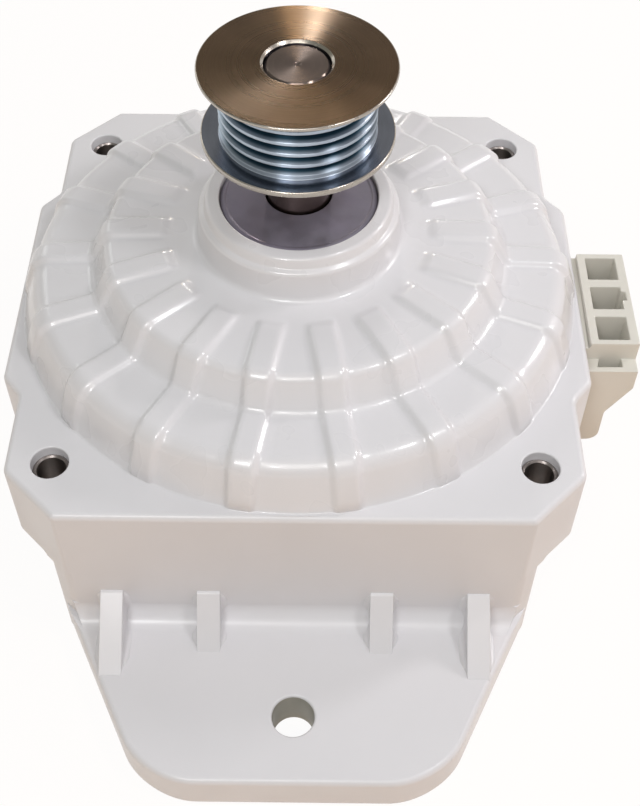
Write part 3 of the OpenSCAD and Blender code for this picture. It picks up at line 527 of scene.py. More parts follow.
class Finish(Nodes):
    """A material that is being built, with the shader's own sockets set by name."""

    def __init__(self, name, **sockets):
        self.material = bpy.data.materials.new(name)
        self.material.use_nodes = True
        super().__init__(self.material.node_tree)
        self.shader = self.tree.nodes["Principled BSDF"]
        for socket, value in sockets.items():
            self.shader.inputs[socket.replace("_", " ")].default_value = value
        self.place = self.node("TexCoord").outputs["Object"]

    def join(self, output, socket):
        """Leads an output into one of the shader's sockets."""
        self.link(output, self.shader.inputs[socket])

    def noise(self, scale, detail, place=None):
        """A cloudy factor, with the scale in spots per metre or so."""
        inputs = {"Vector": place or self.place, "Scale": scale, "Detail": detail}
        return self.node("TexNoise", inputs).outputs["Fac"]

    def tones(self, factor, low, high, at=(0.35, 0.65)):
        """Blends two colours where a factor passes between two values."""
        return self.ramp(factor, list(zip(at, (low, high))))

    def colour(self, factor, tone, fall, at=(0.35, 0.65)):
        """The shader's colour: a tone, and darker by a share where a factor is low."""
        self.join(self.tones(factor, scaled(tone, 1 - fall), tone, at), "Base Color")

    def gloss(self, factor, roughness, low, high):
        """The shader's roughness, spread by a factor between two shares of it."""
        spread = self.span(factor, 0.3, 0.7, roughness * low, roughness * high, "SMOOTHSTEP")
        self.join(spread, "Roughness")

    def bump(self, height, depth, strength, below=None):
        """A normal from a height factor, laid over the normal below it."""
        inputs = {"Height": height, "Distance": depth, "Strength": strength}
        if below:
            inputs["Normal"] = below
        return self.node("Bump", inputs).outputs["Normal"]

    def relief(self, *layers):
        """The shader's normal, from layers of (height, depth, strength), the lowest first."""
        normal = None
        for layer in layers:
            normal = self.bump(*layer, normal)
        self.join(normal, "Normal")

    def round_place(self):
        """Distance from the shaft axis and height, so a pattern runs round the axis."""
        radius = self.vector("LENGTH", self.vector("MULTIPLY", self.place, (1, 1, 0)))
        return self.node("CombineXYZ", {"X": radius, "Z": self.along(self.place, "Z")}).outputs["Vector"]

    def round_tangent(self, reach):
        """Direction of turning marks round the shaft, or round four axes at a reach from both centre planes."""
        centre = self.vector("MULTIPLY", self.vector("SIGN", self.place), (reach, reach, 0))
        across = self.vector("CROSS_PRODUCT", (0, 0, 1), self.vector("SUBTRACT", self.place, centre))
        in_world = self.node(
            "VectorTransform", {"Vector": across},
            vector_type="VECTOR", convert_from="OBJECT", convert_to="WORLD",
        )
        return self.vector("NORMALIZE", in_world.outputs["Vector"])


def scaled(tone, factor):
    """A tone made darker or brighter by a factor."""
    return tuple(min(channel * factor, 1) for channel in tone)


def glossy_moulding(name, tone, roughness=0.3, coat=0.5, mottle=0.022, coat_roughness=0.12):
    """Injection moulded plastic: faint flow mottling, a hint of orange peel and a clear gloss."""
    f = Finish(
        name, Roughness=roughness, IOR=1.5, Coat_Weight=coat, Coat_Roughness=coat_roughness, Coat_IOR=1.5,
    )
    f.colour(f.noise(38, 3), tone, mottle, (0.2, 0.8))
    f.gloss(f.noise(95, 2), roughness, 0.88, 1.14)
    f.relief((f.noise(420, 1), 0.04 * MM, 0.35), (f.noise(2600, 2), 0.006 * MM, 0.4))
    return f.material


def turned_steel(name, tone, roughness, marks, anisotropy, dirt=0.12, groove_shade=None, reach=0):
    """Steel from a lathe: fine rings round the axis and a little staining, with painted shade that darkens it
    down in grooves.
    """
    f = Finish(name, Metallic=1.0, Roughness=roughness, Anisotropic=anisotropy, Anisotropic_Rotation=0.25)
    rings = f.round_place()
    fine, broad = f.noise(5200, 2, rings), f.noise(900, 2, rings)
    base = f.tones(f.noise(160, 4), scaled(tone, 1 - dirt), tone, (0.3, 0.7))
    # Painted shade: the base colour darkens towards the bottom of the grooves, between two radii, to a dark
    # tone.
    if groove_shade:
        bottom_r, top_r, shade_tone = groove_shade
        height = f.span(f.along(rings, "X"), bottom_r, top_r)
        base = f.vector("MULTIPLY", base, f.tones(height, linear_rgb(*shade_tone), WHITE, (0, 1)))
    f.join(f.vector("MULTIPLY", base, f.tones(fine, scaled(WHITE, 0.92), WHITE)), "Base Color")
    f.gloss(broad, roughness, 0.94, 1.06)
    f.relief((fine, 0.012 * MM, marks), (broad, 0.02 * MM, marks * 0.25))
    f.join(f.round_tangent(reach), "Tangent")
    return f.material


def pressed_steel(name, tone, roughness=0.34, mottle=0.1, tint=(1, 1, 1), metallic=1.0):
    """Rolled and pressed sheet: satin, with a faint grain and soft cloudy staining."""
    f = Finish(name, Metallic=metallic, Roughness=roughness)
    bright = tuple(min(channel * share, 1) for channel, share in zip(tone, tint))
    f.join(f.tones(f.noise(70, 4), scaled(tone, 1 - mottle), bright), "Base Color")
    f.gloss(f.noise(260, 3), roughness, 0.8, 1.25)
    f.relief((f.noise(3200, 3), 0.012 * MM, 0.5))
    return f.material


def ground_steel(name, tone, roughness=0.2):
    """Hard bearing steel, finely ground."""
    f = Finish(name, Metallic=1.0, Roughness=roughness)
    rings = f.round_place()
    f.colour(f.noise(2400, 2, rings), tone, 0.1)
    f.gloss(f.noise(500, 2), roughness, 0.8, 1.2)
    f.relief((f.noise(4200, 2, rings), 0.006 * MM, 0.5))
    return f.material


def dull_plastic(name, tone, roughness=0.45):
    """Plain moulded plastic with a fine grain."""
    f = Finish(name, Roughness=roughness, IOR=1.5)
    f.colour(f.noise(60, 3), tone, 0.06)
    f.gloss(f.noise(180, 2), roughness, 0.85, 1.15)
    f.relief((f.noise(1800, 2), 0.01 * MM, 0.5))
    return f.material


def laminated_steel(name, tone):
    """A stack of thin punched sheets, seen from the side as fine lines."""
    f = Finish(name, Metallic=0.9, Roughness=0.45)
    sheets_per_metre = 2000
    turns = f.number("MULTIPLY", f.along(f.place, "Z"), sheets_per_metre * math.tau)
    f.colour(f.noise(300, 3), tone, 0.2)
    f.relief((f.number("SINE", turns), 0.03 * MM, 0.6))
    return f.material


def wound_copper(name, tone):
    """Enamelled wire laid side by side."""
    f = Finish(name, Metallic=0.85, Roughness=0.3, Coat_Weight=0.5, Coat_Roughness=0.15)
    inputs = {"Vector": f.place, "Scale": 230, "Distortion": 0.6, "Detail": 1}
    wires = f.node("TexWave", inputs, bands_direction="Z").outputs["Fac"]
    f.colour(wires, tone, 0.45, (0.1, 0.6))
    f.relief((wires, 0.15 * MM, 0.8))
    return f.material


def sintered(name, tone):
    """Dark, finely granular magnet material."""
    f = Finish(name, Roughness=0.6)
    f.colour(f.noise(900, 4), tone, 0.3)
    f.relief((f.noise(2400, 3), 0.02 * MM, 0.6))
    return f.material


# Each look has its maker, its tone as a setting's name or as 0 to 255 values, and what it tells the maker
LOOKS = {
    "white_moulding": (glossy_moulding, "moulding", {}),
    "satin_moulding": (glossy_moulding, "moulding", {"roughness": 0.42, "coat": 0.3, "coat_roughness": 0.22}),
    "plug_plastic": (glossy_moulding, "plug", {"roughness": 0.34, "coat": 0.15, "mottle": 0.05}),
    "foot_hole_shade": (dull_plastic, "bore", {"roughness": 0.5}),
    "cup_steel": (pressed_steel, "cup", {"roughness": 0.5, "mottle": 0.06, "tint": COOL, "metallic": 0.6}),
    "sleeve_steel": (turned_steel, "sleeve", {
        "roughness": 0.34, "marks": 0.3, "anisotropy": 0.7, "dirt": 0.25, "reach": 45 * MM,
    }),
    "shaft_steel": (turned_steel, (136, 122, 114), {"roughness": 0.22, "marks": 0.02, "anisotropy": 0.7}),
    "pulley_steel": (turned_steel, "steel", {"roughness": 0.28, "marks": 0.01, "anisotropy": 0.92}),
    "pulley_inside": (turned_steel, (146, 150, 160), {"roughness": 0.2, "marks": 0.03, "anisotropy": 0.6}),
    "belt_grooves": (turned_steel, "grooves", {
        "roughness": 0.36, "marks": 0.05, "anisotropy": 0.9, "dirt": 0.15,
        # Painted shade: the grooves' bottoms are darkened to a dark teal.
        "groove_shade": (13.3 * MM, 14.2 * MM, (82, 116, 130)),
    }),
    # Painted highlight on the pulley's rims and bore bevel.
    "rim_highlight_steel": (ground_steel, "rim", {"roughness": 0.26}),
    "cover_steel": (pressed_steel, "cover", {"mottle": 0.14, "tint": (1.0, 1.0, 1.02)}),
    "screw_steel": (ground_steel, (186, 186, 184), {"roughness": 0.26}),
    "terminal_metal": (pressed_steel, (196, 190, 172), {"roughness": 0.3, "tint": (1, 1, 0.97)}),
    "bearing_steel": (ground_steel, (190, 192, 195), {}),
    "cage_plastic": (dull_plastic, (168, 140, 84), {}),
    "shield_steel": (pressed_steel, (150, 152, 156), {}),
    "spring_steel": (ground_steel, (120, 118, 116), {"roughness": 0.28}),
    "core_steel": (laminated_steel, (120, 124, 130), {}),
    "insulator_plastic": (dull_plastic, (226, 220, 200), {"roughness": 0.4}),
    "winding_copper": (wound_copper, (190, 104, 60), {}),
    "magnet_ferrite": (sintered, (70, 70, 74), {}),
    "end_ring_metal": (pressed_steel, (196, 196, 198), {"roughness": 0.32}),
}
FINISHES = {}


def finish(name):
    """The material of one of the looks, made once."""
    if name not in FINISHES:
        maker, tone, differences = LOOKS[name]
        tone = getattr(bpy.context.scene.motor_finishes, tone) if isinstance(tone, str) else linear_rgb(*tone)
        FINISHES[name] = maker(name, tone, **differences)
    return FINISHES[name]


def dress_nodes(*nodes):
    """Gives CAD nodes that stay in view the procedural finish of their slot."""
    slots = {part["node"]: part["material_slot"] for part in frame["record"]["subparts"]}
    for name in nodes:
        node = frame["nodes"][name]
        material = finish(slots[name])
        node.data.materials.clear()
        node.data.materials.append(material)


# Housing


def dome_outline(s):
    """Closed section of the dome: the outer skin first, then the inside and the pocket for the cup."""
    foot_z = -1 * MM
    skirt_r = s.foot_r + 0.6 * MM
    belly = 0.27
    collar_foot_r = s.collar_r + 0.6 * MM
    tier_slope = (s.inner_top - s.inner_edge) / (s.inner_r - collar_foot_r)
    rings = [s.rib_start - k * 0.7 * MM for k in range(5)]
    rim = HOUSING_HIGH.z
    seat_z = CUP_LOW.z + 1.15 * MM
    skin = [
        (skirt_r, foot_z), (skirt_r, -HAIR), (s.foot_r, 0, 0.5 * MM),
        (s.foot_r - belly * (s.foot_r - s.edge_r), belly * s.edge_height),
        (s.edge_r, s.edge_height, 4 * MM), (s.outer_inner_r, s.outer_top, 2.2 * MM),
        (s.inner_r, s.inner_edge, 2.4 * MM),
        *((r, s.inner_top - (r - collar_foot_r) * tier_slope) for r in rings),
        (collar_foot_r, s.inner_top, 1.3 * MM), (s.collar_r, rim - 2.6 * MM, 0.9 * MM),
        (s.collar_r - 1.1 * MM, rim - 2 * MM, 0.5 * MM), (s.collar_r - 1.6 * MM, rim, 0.8 * MM),
        (s.mouth_r, rim, 0.3 * MM), (s.mouth_r, seat_z),
    ]
    slope = (s.outer_top - s.edge_height) / (s.edge_r - s.outer_inner_r)
    step_slope = (s.outer_inner_r - s.inner_r) / (s.inner_edge - s.outer_top)
    pocket_r, pocket_z = s.mouth_r + 5.4 * MM, CUP_LOW.z - CLOSE
    lip_r, ceiling = s.mouth_r - 0.75 * MM, CUP_LOW.z - 1.5 * MM
    inner_r = s.outer_inner_r - s.wall
    inner_z = s.edge_height + (s.edge_r - inner_r) * slope - s.wall
    upper_r, ledge_z = s.cavity_r - 1.65 * MM, 1.5 * MM
    inside = [
        (pocket_r, seat_z), (pocket_r, pocket_z), (lip_r, pocket_z), (lip_r, ceiling),
        (inner_r - step_slope * (ceiling - inner_z), ceiling), (inner_r, inner_z),
        (upper_r, s.edge_height + (s.edge_r - upper_r) * slope - s.wall), (upper_r, ledge_z),
        (s.cavity_r, ledge_z), (s.cavity_r, foot_z),
    ]
    return skin, inside


def raise_ribs(bm, s, skin, steps):
    """Draws the spun columns together at the sides of each rib and lifts the ribs off the skin."""
    sector = math.tau / s.rib_count
    columns = steps // s.rib_count
    half = columns // 2
    flank = half - 4
    band = [0.0, 0.65 * s.rib_top]
    band += [s.rib_top + (s.rib_foot - s.rib_top) * k / (flank - 1) for k in range(flank)]
    narrowest_r = s.rib_start - 2 * MM
    end_r = s.rib_start - 2.8 * MM
    foot_share = 0.35
    bm.normal_update()
    moves = []
    for v in bm.verts:
        radius = math.hypot(v.co.x, v.co.y)
        out = Vector((v.co.x / radius, v.co.y / radius, 0))
        column = round(math.atan2(v.co.y, v.co.x) / math.tau * steps)
        turns, k = divmod(column + half, columns)
        k -= half
        wide_r = max(radius, narrowest_r)
        edge = math.asin(band[-1] / wide_r)
        if abs(k) < len(band):
            turned_by = math.asin(band[abs(k)] / wide_r)
        else:
            turned_by = edge + (sector / 2 - edge) * (abs(k) - len(band) + 1) / (half - len(band) + 1)
        turned_by = turns * sector + math.copysign(turned_by, k)
        beside = band[min(abs(k), len(band) - 1)]
        lift = s.rib_rise * (1 - smooth_step(s.rib_top, s.rib_foot, beside)) * v[skin]
        lift *= smooth_step(end_r, s.rib_start, radius)
        lift *= foot_share + (1 - foot_share) * smooth_step(0, 0.8 * MM, v.co.z)
        side, upward = v.normal.dot(out), v.normal.z
        if v.co.z < 1 * MM:
            side, upward = 1.0, 0.0
        reach = radius + lift * side
        place = Vector((reach * math.cos(turned_by), reach * math.sin(turned_by), v.co.z + lift * upward))
        moves.append((v, place))
    for v, place in moves:
        v.co = place


class MOTOR_OT_dome(Operator):
    """Build the two-tier dome with its ribs and collar"""

    bl_idname = "motor.dome"
    bl_label = "Dome"

    def execute(self, context):
        s = context.scene.motor_dome
        skin_points, inside_points = dome_outline(s)
        bm = bmesh.new()
        skin = bm.verts.layers.float.new("skin")
        outer = chain(bm, skin_points)
        for v in bm.verts:
            v[skin] = 1
        inner = chain(bm, inside_points)
        bm.edges.new((outer[-1], inner[0]))
        bm.edges.new((inner[-1], outer[0]))
        steps = 20 * s.rib_count
        turn(bm, steps)
        raise_ribs(bm, s, skin, steps)
        moulded("housing_dome", bm, ["white_moulding"], sharp=50, weighted=False)
        return {"FINISHED"}


def quarter(s, wall_half):
    """A quarter of the flange's outline: corners with their rounding, from the rear edge to the right edge."""
    cut_x = s.ear_half - s.corner_cut
    joint = wall_half + 1.5 * MM
    return [
        (0, s.body_half, 0), (cut_x, s.body_half, s.corner_round), (joint, s.body_half - joint + cut_x, 0),
        (s.ear_half, s.body_half - s.corner_cut, s.ear_round),
        (s.ear_half, s.bulge_half + s.bulge_slant, s.ear_round),
        (s.body_half, s.bulge_half, s.ear_round), (s.body_half, 0, 0),
    ]


class MOTOR_OT_flange(Operator):
    """Build the flange with its four ears and their holes"""

    bl_idname = "motor.flange"
    bl_label = "Flange"

    def execute(self, context):
        s = context.scene.motor_flange
        cavity_r = context.scene.motor_dome.cavity_r
        wall_half = context.scene.motor_body.wall_back_half
        bm = bmesh.new()
        corners = quarter(s, wall_half)
        verts = [bm.verts.new((x, y, 0)) for x, y, _ in corners]
        link_up(bm, verts, False)
        round_corners(bm, [(v, corner[2]) for v, corner in zip(verts, corners) if corner[2]])
        for axis in "XY":
            geom = bm.verts[:] + bm.edges[:]
            bmesh.ops.mirror(bm, geom=geom, matrix=Matrix.Identity(4), merge_dist=1e-6, axis=axis)
        for x in (-s.hole_reach, s.hole_reach):
            for y in (-s.hole_reach, s.hole_reach):
                circle(bm, x, y, s.hole_r, 64)
        circle(bm, 0, 0, cavity_r, 180)
        slab(bm, -s.thickness, 0)

        def hole(co):
            return math.hypot(abs(co.x) - s.hole_reach, abs(co.y) - s.hole_reach) < s.hole_r + NEAR

        def outer(co):
            return not hole(co) and math.hypot(co.x, co.y) > cavity_r + OVERCUT

        def under(co):
            over_wall = co.y < -s.body_half + 5 * MM and abs(co.x) < wall_half + 1 * MM
            return co.z < -s.thickness + CLOSE and outer(co) and not over_wall

        bevel(bm, edges_where(bm, lambda co: co.z > -CLOSE and outer(co)), s.edge_round, 6)
        bevel(bm, edges_where(bm, lambda co: co.z > -CLOSE and hole(co)), s.hole_bevel)
        bevel(bm, edges_where(bm, under), s.under_round, 5)
        moulded("housing_flange", bm)
        return {"FINISHED"}


def screw_places(s):
    """Places of the four cover screws in the XY plane."""
    reach_x, reach_y = s.screw_reach * math.cos(s.screw_angle), s.screw_reach * math.sin(s.screw_angle)
    return [(x, y) for x in (-reach_x, reach_x) for y in (-reach_y, reach_y)]


class MOTOR_OT_lower_body(Operator):
    """Build the round body under the flange, with its front wall, screw bosses and the rear cover's seat"""

    bl_idname = "motor.lower_body"
    bl_label = "Lower body"

    def execute(self, context):
        s = context.scene.motor_body
        flange = context.scene.motor_flange
        half = flange.body_half
        low, high = HOUSING_LOW.z, -flange.thickness
        back_y, back_x = -half + s.wall_t, s.wall_back_half
        right = [
            (30.1 * MM, -39.9 * MM), (back_x - 10.7 * MM, back_y + s.wall_t), (back_x - 7.5 * MM, back_y),
            (back_x, back_y), (back_x, -half + back_x - s.wall_half), (s.wall_half, -half),
        ]
        wall = prism(right + [(-x, y) for x, y in reversed(right)], low, high)
        pad_depth, pad_margin = 12 * MM, 0.6 * MM
        pad = block((half - pad_depth, PLUG_LOW.y - pad_margin, low), (half, PLUG_HIGH.y + pad_margin, high))
        bosses = [post(x, y, s.boss_r, low, high, 64) for x, y in screw_places(s)]
        body = joined("UNION", post(0, 0, s.drum_r, low, high, 240), [wall, pad] + bosses)
        seat, below = low + s.seat_depth, low - OVERCUT
        cutters = [
            post(0, 0, s.seat_r, below, seat, 240), post(0, 0, s.bore_r, below, s.step_z + NEAR, 180),
            post(0, 0, context.scene.motor_dome.cavity_r, s.step_z, high + OVERCUT, 180),
        ]
        for x, y in screw_places(s):
            cutters.append(post(x, y, s.lug_r, below, seat, 48))
            cutters.append(post(x, y, s.screw_r, below, seat + s.screw_depth, 24))
        body = joined("DIFFERENCE", body, cutters)

        def corner(co):
            return co.y < -half + 4 * MM and abs(co.x) > s.wall_half - NEAR

        upright = [e for e in body.edges if rise(e) > 15 * MM and corner(e.verts[0].co)]
        turning = [e for e in upright if e.calc_face_angle(0) > math.radians(11)]
        bevel(body, turning, flange.corner_round, 5, clamped=True)
        moulded("housing_lower_body", body)
        return {"FINISHED"}


def side_line(s, root):
    """Unit direction of the foot plate's slanting side, from its root to the round corner that it touches."""
    to_centre = Vector((s.corner_x, HOUSING_LOW.y + s.corner_r)) - Vector(root)
    turned_by = math.atan2(to_centre.y, to_centre.x) + math.asin(s.corner_r / to_centre.length)
    return Vector((math.cos(turned_by), math.sin(turned_by), 0))


def foot_plate(s, half, inside, base, top, root, along):
    """The plate and its fillet, cut to its slanting sides and rounded at its two corners."""
    tip, crest = HOUSING_LOW.y, top + s.fillet + 0.02 * MM
    bm = side_view([
        (inside, base), (tip, base), (tip, top), (-half, top, s.fillet), (-half, crest), (inside, crest),
    ], 2 * half, 0)
    for hand in (-1, 1):
        cut = bisect(bm, (hand * root.x, root.y, 0), (-hand * along.y, along.x, 0), clear_outer=True)
        rims = [g for g in cut["geom_cut"] if isinstance(g, bmesh.types.BMEdge)]
        bmesh.ops.holes_fill(bm, edges=rims, sides=0)
    bmesh.ops.recalc_face_normals(bm, faces=bm.faces)
    corners = [e for e in bm.edges if rise(e) > 5 * MM and all(v.co.y < tip + HAIR for v in e.verts)]
    bevel(bm, corners, s.corner_r * math.tan(corners[0].calc_face_angle(0) / 2), 20)
    return bm


def gusset(s, half, top, x, reach):
    """One gusset: its side view, thickened, rounded and flared beside the wall and the plate."""
    crest = top + s.gusset_height
    sunk = 0.5 * MM
    shoulder = Vector((-half - 0.5 * MM, crest - 0.2 * MM))
    end = Vector((-half - reach, top))
    bm = side_view([
        (-half + sunk, top - sunk), (-half + sunk, crest), (*shoulder, 0.6 * MM), tuple(end),
        (end.x - 0.4 * MM, top - sunk),
    ], s.gusset_t, x)
    slope = (end - shoulder).normalized()
    outward = Vector((slope.y, -slope.x))
    ridge = [
        e for e in edges_where(bm, lambda co: co.z > top - 0.6 * MM and co.y < -half + 0.6 * MM, 40)
        if abs(e.verts[0].co.x - e.verts[1].co.x) < HAIR and not all(v.co.y > -half for v in e.verts)
        and not all(v.co.z < top + HAIR for v in e.verts)
    ]
    bevel(bm, ridge, s.gusset_round, 4, clamped=True)
    planes = []
    for k in range(6):
        step = s.gusset_flare * (k / 5) ** 1.5
        planes += [((0, -half - step, 0), (0, 1, 0)), ((0, 0, top + step), (0, 0, 1))]
    fade, full = 0.5 * MM, 2.2 * MM
    for depth in (0.8 * MM, 1.4 * MM, full):
        slant = (0, end.x - depth * outward.x, end.y - depth * outward.y)
        planes += [((0, 0, crest - depth), (0, 0, 1)), (slant, (0, *outward))]
    for place, normal in planes:
        bisect(bm, place, normal)
    for v in bm.verts:
        gap = min(max(-half - v.co.y, 0), max(v.co.z - top, 0))
        depth = min(crest - v.co.z, (end - v.co.yz).dot(outward))
        if gap < s.gusset_flare and abs(v.co.x - x) > s.gusset_t / 2 - HAIR:
            flare = s.gusset_flare - math.sqrt(s.gusset_flare ** 2 - (s.gusset_flare - gap) ** 2)
            v.co.x += math.copysign(flare * smooth_step(fade, full, depth), v.co.x - x)
    return bm


class MOTOR_OT_foot(Operator):
    """Build the foot plate with its hole, fillet and gussets"""

    bl_idname = "motor.foot"
    bl_label = "Foot"

    def execute(self, context):
        s = context.scene.motor_foot
        body = context.scene.motor_body
        half = context.scene.motor_flange.body_half
        base, top = HOUSING_LOW.z + HAIR, HOUSING_LOW.z + s.thickness
        root = Vector((s.root_x, -half + s.root_x - body.wall_half, 0))
        along = side_line(s, root.xy)
        inside = -half + 1.3 * MM
        bm = foot_plate(s, half, inside, base, top, root, along)
        cutters = [post(0, -s.hole_reach, s.hole_r, base - OVERCUT, top + OVERCUT, 72)]
        wall_end = Vector((body.wall_half + 0.02 * MM, -half, 0))
        beyond = [along * 12, Vector(), Vector((4, 4, 0)), Vector((9, 4, 0)), Vector((9, -16, 0))]
        for hand in (-1, 1):
            places = [wall_end + v * MM for v in beyond]
            cutters.append(prism([(hand * p.x, p.y) for p in places], top + HAIR, top + 8 * MM))
        bm = joined("DIFFERENCE", bm, cutters)

        def hole(co):
            return math.hypot(co.x, co.y + s.hole_reach) < s.hole_r + NEAR

        def side(co):
            away = Vector((abs(co.x), co.y, 0)) - root
            round_part = co.y < HOUSING_LOW.y + s.corner_r
            return not hole(co) and (round_part or abs(away.cross(along).z) < CLOSE)

        def upper_side(co):
            return side(co) and co.z > top - CLOSE and co.y < inside - NEAR

        bevel(bm, edges_where(bm, upper_side, 50), s.edge_round, 6)
        bevel(bm, edges_where(bm, lambda co: co.z > top - CLOSE and hole(co)), s.small_round, 4)
        bevel(bm, edges_where(bm, lambda co: co.z < base + 0.02 * MM and side(co)), s.small_round)
        # The hole's walls take the darker grey: painted shade.
        for face in bm.faces:
            if face.normal.z < 0.1 and hole(face.calc_center_median()):
                face.material_index = 1
        sunk, middle_x = inside - 0.3 * MM, 30 * MM
        back = [
            (middle_x, sunk), (root.x - 0.9 * MM, sunk), root.xy - Vector((0.03, 0.03)) * MM,
            (middle_x, -half + body.wall_t),
        ]
        for name, hand in (("right", 1), ("left", -1)):
            corner = prism([(hand * x, y) for x, y in back], base, top - 0.02 * MM)
            moulded("housing_foot_root_" + name, corner)
        moulded("housing_foot", bm, ["satin_moulding", "foot_hole_shade"])
        for name, x, reach in (
            ("outer_left", -s.outer_x, s.outer_reach), ("inner_left", -s.inner_x, s.inner_reach),
            ("inner_right", s.inner_x, s.inner_reach), ("outer_right", s.outer_x, s.outer_reach),
        ):
            moulded("housing_gusset_" + name, gusset(s, half, top, x, reach), sharp=60)
        return {"FINISHED"}


# Steel pieces


class MOTOR_OT_steel_fittings(Operator):
    """Build the bearing cup in the collar and the steel sleeves in the ears"""

    bl_idname = "motor.steel_fittings"
    bl_label = "Cup and sleeves"

    def execute(self, context):
        s = context.scene.motor_steel
        top, low = CUP_HIGH.z + s.cup_proud, CUP_LOW.z
        flange_r = CUP_HIGH.x
        inner_r = s.cup_r - s.cup_t
        lip_r = s.cup_r - s.cup_round - s.cup_lip
        crest = top + s.cup_crown
        cup = turned([
            (s.cup_hole_r, crest, 0.25 * MM), (lip_r, top - 0.15 * MM, 0.4 * MM),
            (lip_r + 0.3 * MM, top, 0.3 * MM), (s.cup_r, top, s.cup_round), (s.cup_r, low + s.cup_t, 0.3 * MM),
            (flange_r, low + s.cup_t), (flange_r, low), (inner_r, low, 0.8 * MM),
            (inner_r, top - s.cup_t, 0.4 * MM), (s.cup_hole_r, crest - s.cup_t),
        ])
        finish_piece("bearing_cup", cup, "motor_body", "cup_steel", ["cup_steel"], ["front_bearing_cup"], 40)
        reach = context.scene.motor_flange.hole_reach
        for row, y in (("front_", -reach), ("rear_", reach)):
            for hand, x in (("left", -reach), ("right", reach)):
                sleeve = self.sleeve(s)
                bmesh.ops.translate(sleeve, vec=(x, y, 0), verts=sleeve.verts)
                finish_piece(
                    "sleeve_bush_" + row + hand, sleeve, "motor_body", "sleeve_steel", ["sleeve_steel"],
                    ["sleeve_" + row + hand],
                )
        return {"FINISHED"}

    def sleeve(self, s):
        """A tube with bevelled ends."""
        wall_r = (SLEEVE_HIGH.x - SLEEVE_LOW.x) / 2
        low, high, b = SLEEVE_LOW.z, SLEEVE_HIGH.z, s.sleeve_bevel
        return turned([
            (s.sleeve_bore_r, low + b), (s.sleeve_bore_r + b, low), (wall_r, low), (wall_r, high - b),
            (wall_r - b, high), (s.sleeve_bore_r + b, high), (s.sleeve_bore_r, high - b),
        ], 72)


class MOTOR_OT_shaft(Operator):
    """Build the shaft with its bevelled, centre-drilled ends"""

    bl_idname = "motor.shaft"
    bl_label = "Shaft"

    def execute(self, context):
        s = context.scene.motor_steel
        rear_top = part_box("rear_bearing_inner_ring")[1].z
        front_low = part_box("front_bearing_inner_ring")[0].z
        low, high, b, centre_r = SHAFT_LOW.z, SHAFT_HIGH.z, s.shaft_bevel, s.centre_r
        shaft = turned([
            (0, low + centre_r), (centre_r, low), (s.shaft_r - b, low), (s.shaft_r, low + b),
            (s.shaft_r, rear_top), (s.shaft_middle_r, rear_top, 0.4 * MM),
            (s.shaft_middle_r, front_low, 0.4 * MM), (s.shaft_r, front_low), (s.shaft_r, high - b, 0.2 * MM),
            (s.shaft_r - b, high, 0.15 * MM), (centre_r, high, 0.2 * MM), (0, high - centre_r),
        ], 128)
        finish_piece("motor_shaft", shaft, "rotor", "shaft_steel", ["shaft_steel"], ["shaft"], 30)
        return {"FINISHED"}


class MOTOR_OT_pulley(Operator):
    """Build the pulley with its two flanges and fine belt grooves"""

    bl_idname = "motor.pulley"
    bl_label = "Pulley"

    def execute(self, context):
        s = context.scene.motor_pulley
        bore = context.scene.motor_steel.shaft_r + HAIR
        bevel_r = bore + s.bore_bevel
        rim = PULLEY_HIGH.x
        low, high = PULLEY_LOW.z, PULLEY_HIGH.z
        floor, ceiling = low + s.flange_t, high - s.flange_t
        groove_half_angle = math.radians(20)
        crest, root = 0.16 * MM, 0.14 * MM
        mouth = root + s.groove_depth * math.tan(groove_half_angle)
        bottom_r = s.core_r - s.groove_depth
        points = [
            (bore, low + s.bore_bevel), (bevel_r, low, 0.1 * MM), (rim, low, s.edge_round),
            (rim, floor, s.edge_round), (s.core_r, floor, 0.25 * MM),
        ]
        for k in range(s.groove_count):
            z = floor + s.groove_margin + k * s.groove_pitch
            points += [
                (s.core_r, z - mouth, crest), (bottom_r, z - root, root), (bottom_r, z + root, root),
                (s.core_r, z + mouth, crest),
            ]
        points += [
            (s.core_r, ceiling, 0.25 * MM), (rim, ceiling, s.edge_round),
            (rim, high - s.face_fall, s.edge_round), (bevel_r, high, 0.1 * MM), (bore, high - s.bore_bevel),
        ]
        pulley = turned(points, 288)
        looks = ["pulley_steel", "belt_grooves", "rim_highlight_steel", "pulley_inside"]
        rim_r = rim - s.edge_round * 0.7
        for face in pulley.faces:
            middle = face.calc_center_median()
            radius = math.hypot(middle.x, middle.y)
            if floor < middle.z < ceiling and bore + 1 * MM < radius < s.core_r + NEAR:
                look = "belt_grooves"
            elif floor - NEAR < middle.z < ceiling + NEAR and radius < rim_r:
                look = "pulley_inside"
            # The rims and the bore bevel get the brighter steel: a painted highlight.
            elif radius > rim_r or bore + HAIR < radius < bore + s.bore_bevel * 0.95:
                look = "rim_highlight_steel"
            else:
                look = "pulley_steel"
            face.material_index = looks.index(look)
        finish_piece("belt_pulley", pulley, "rotor", "pulley_steel", looks, ["pulley"], 30)
        return {"FINISHED"}


# Plug housing


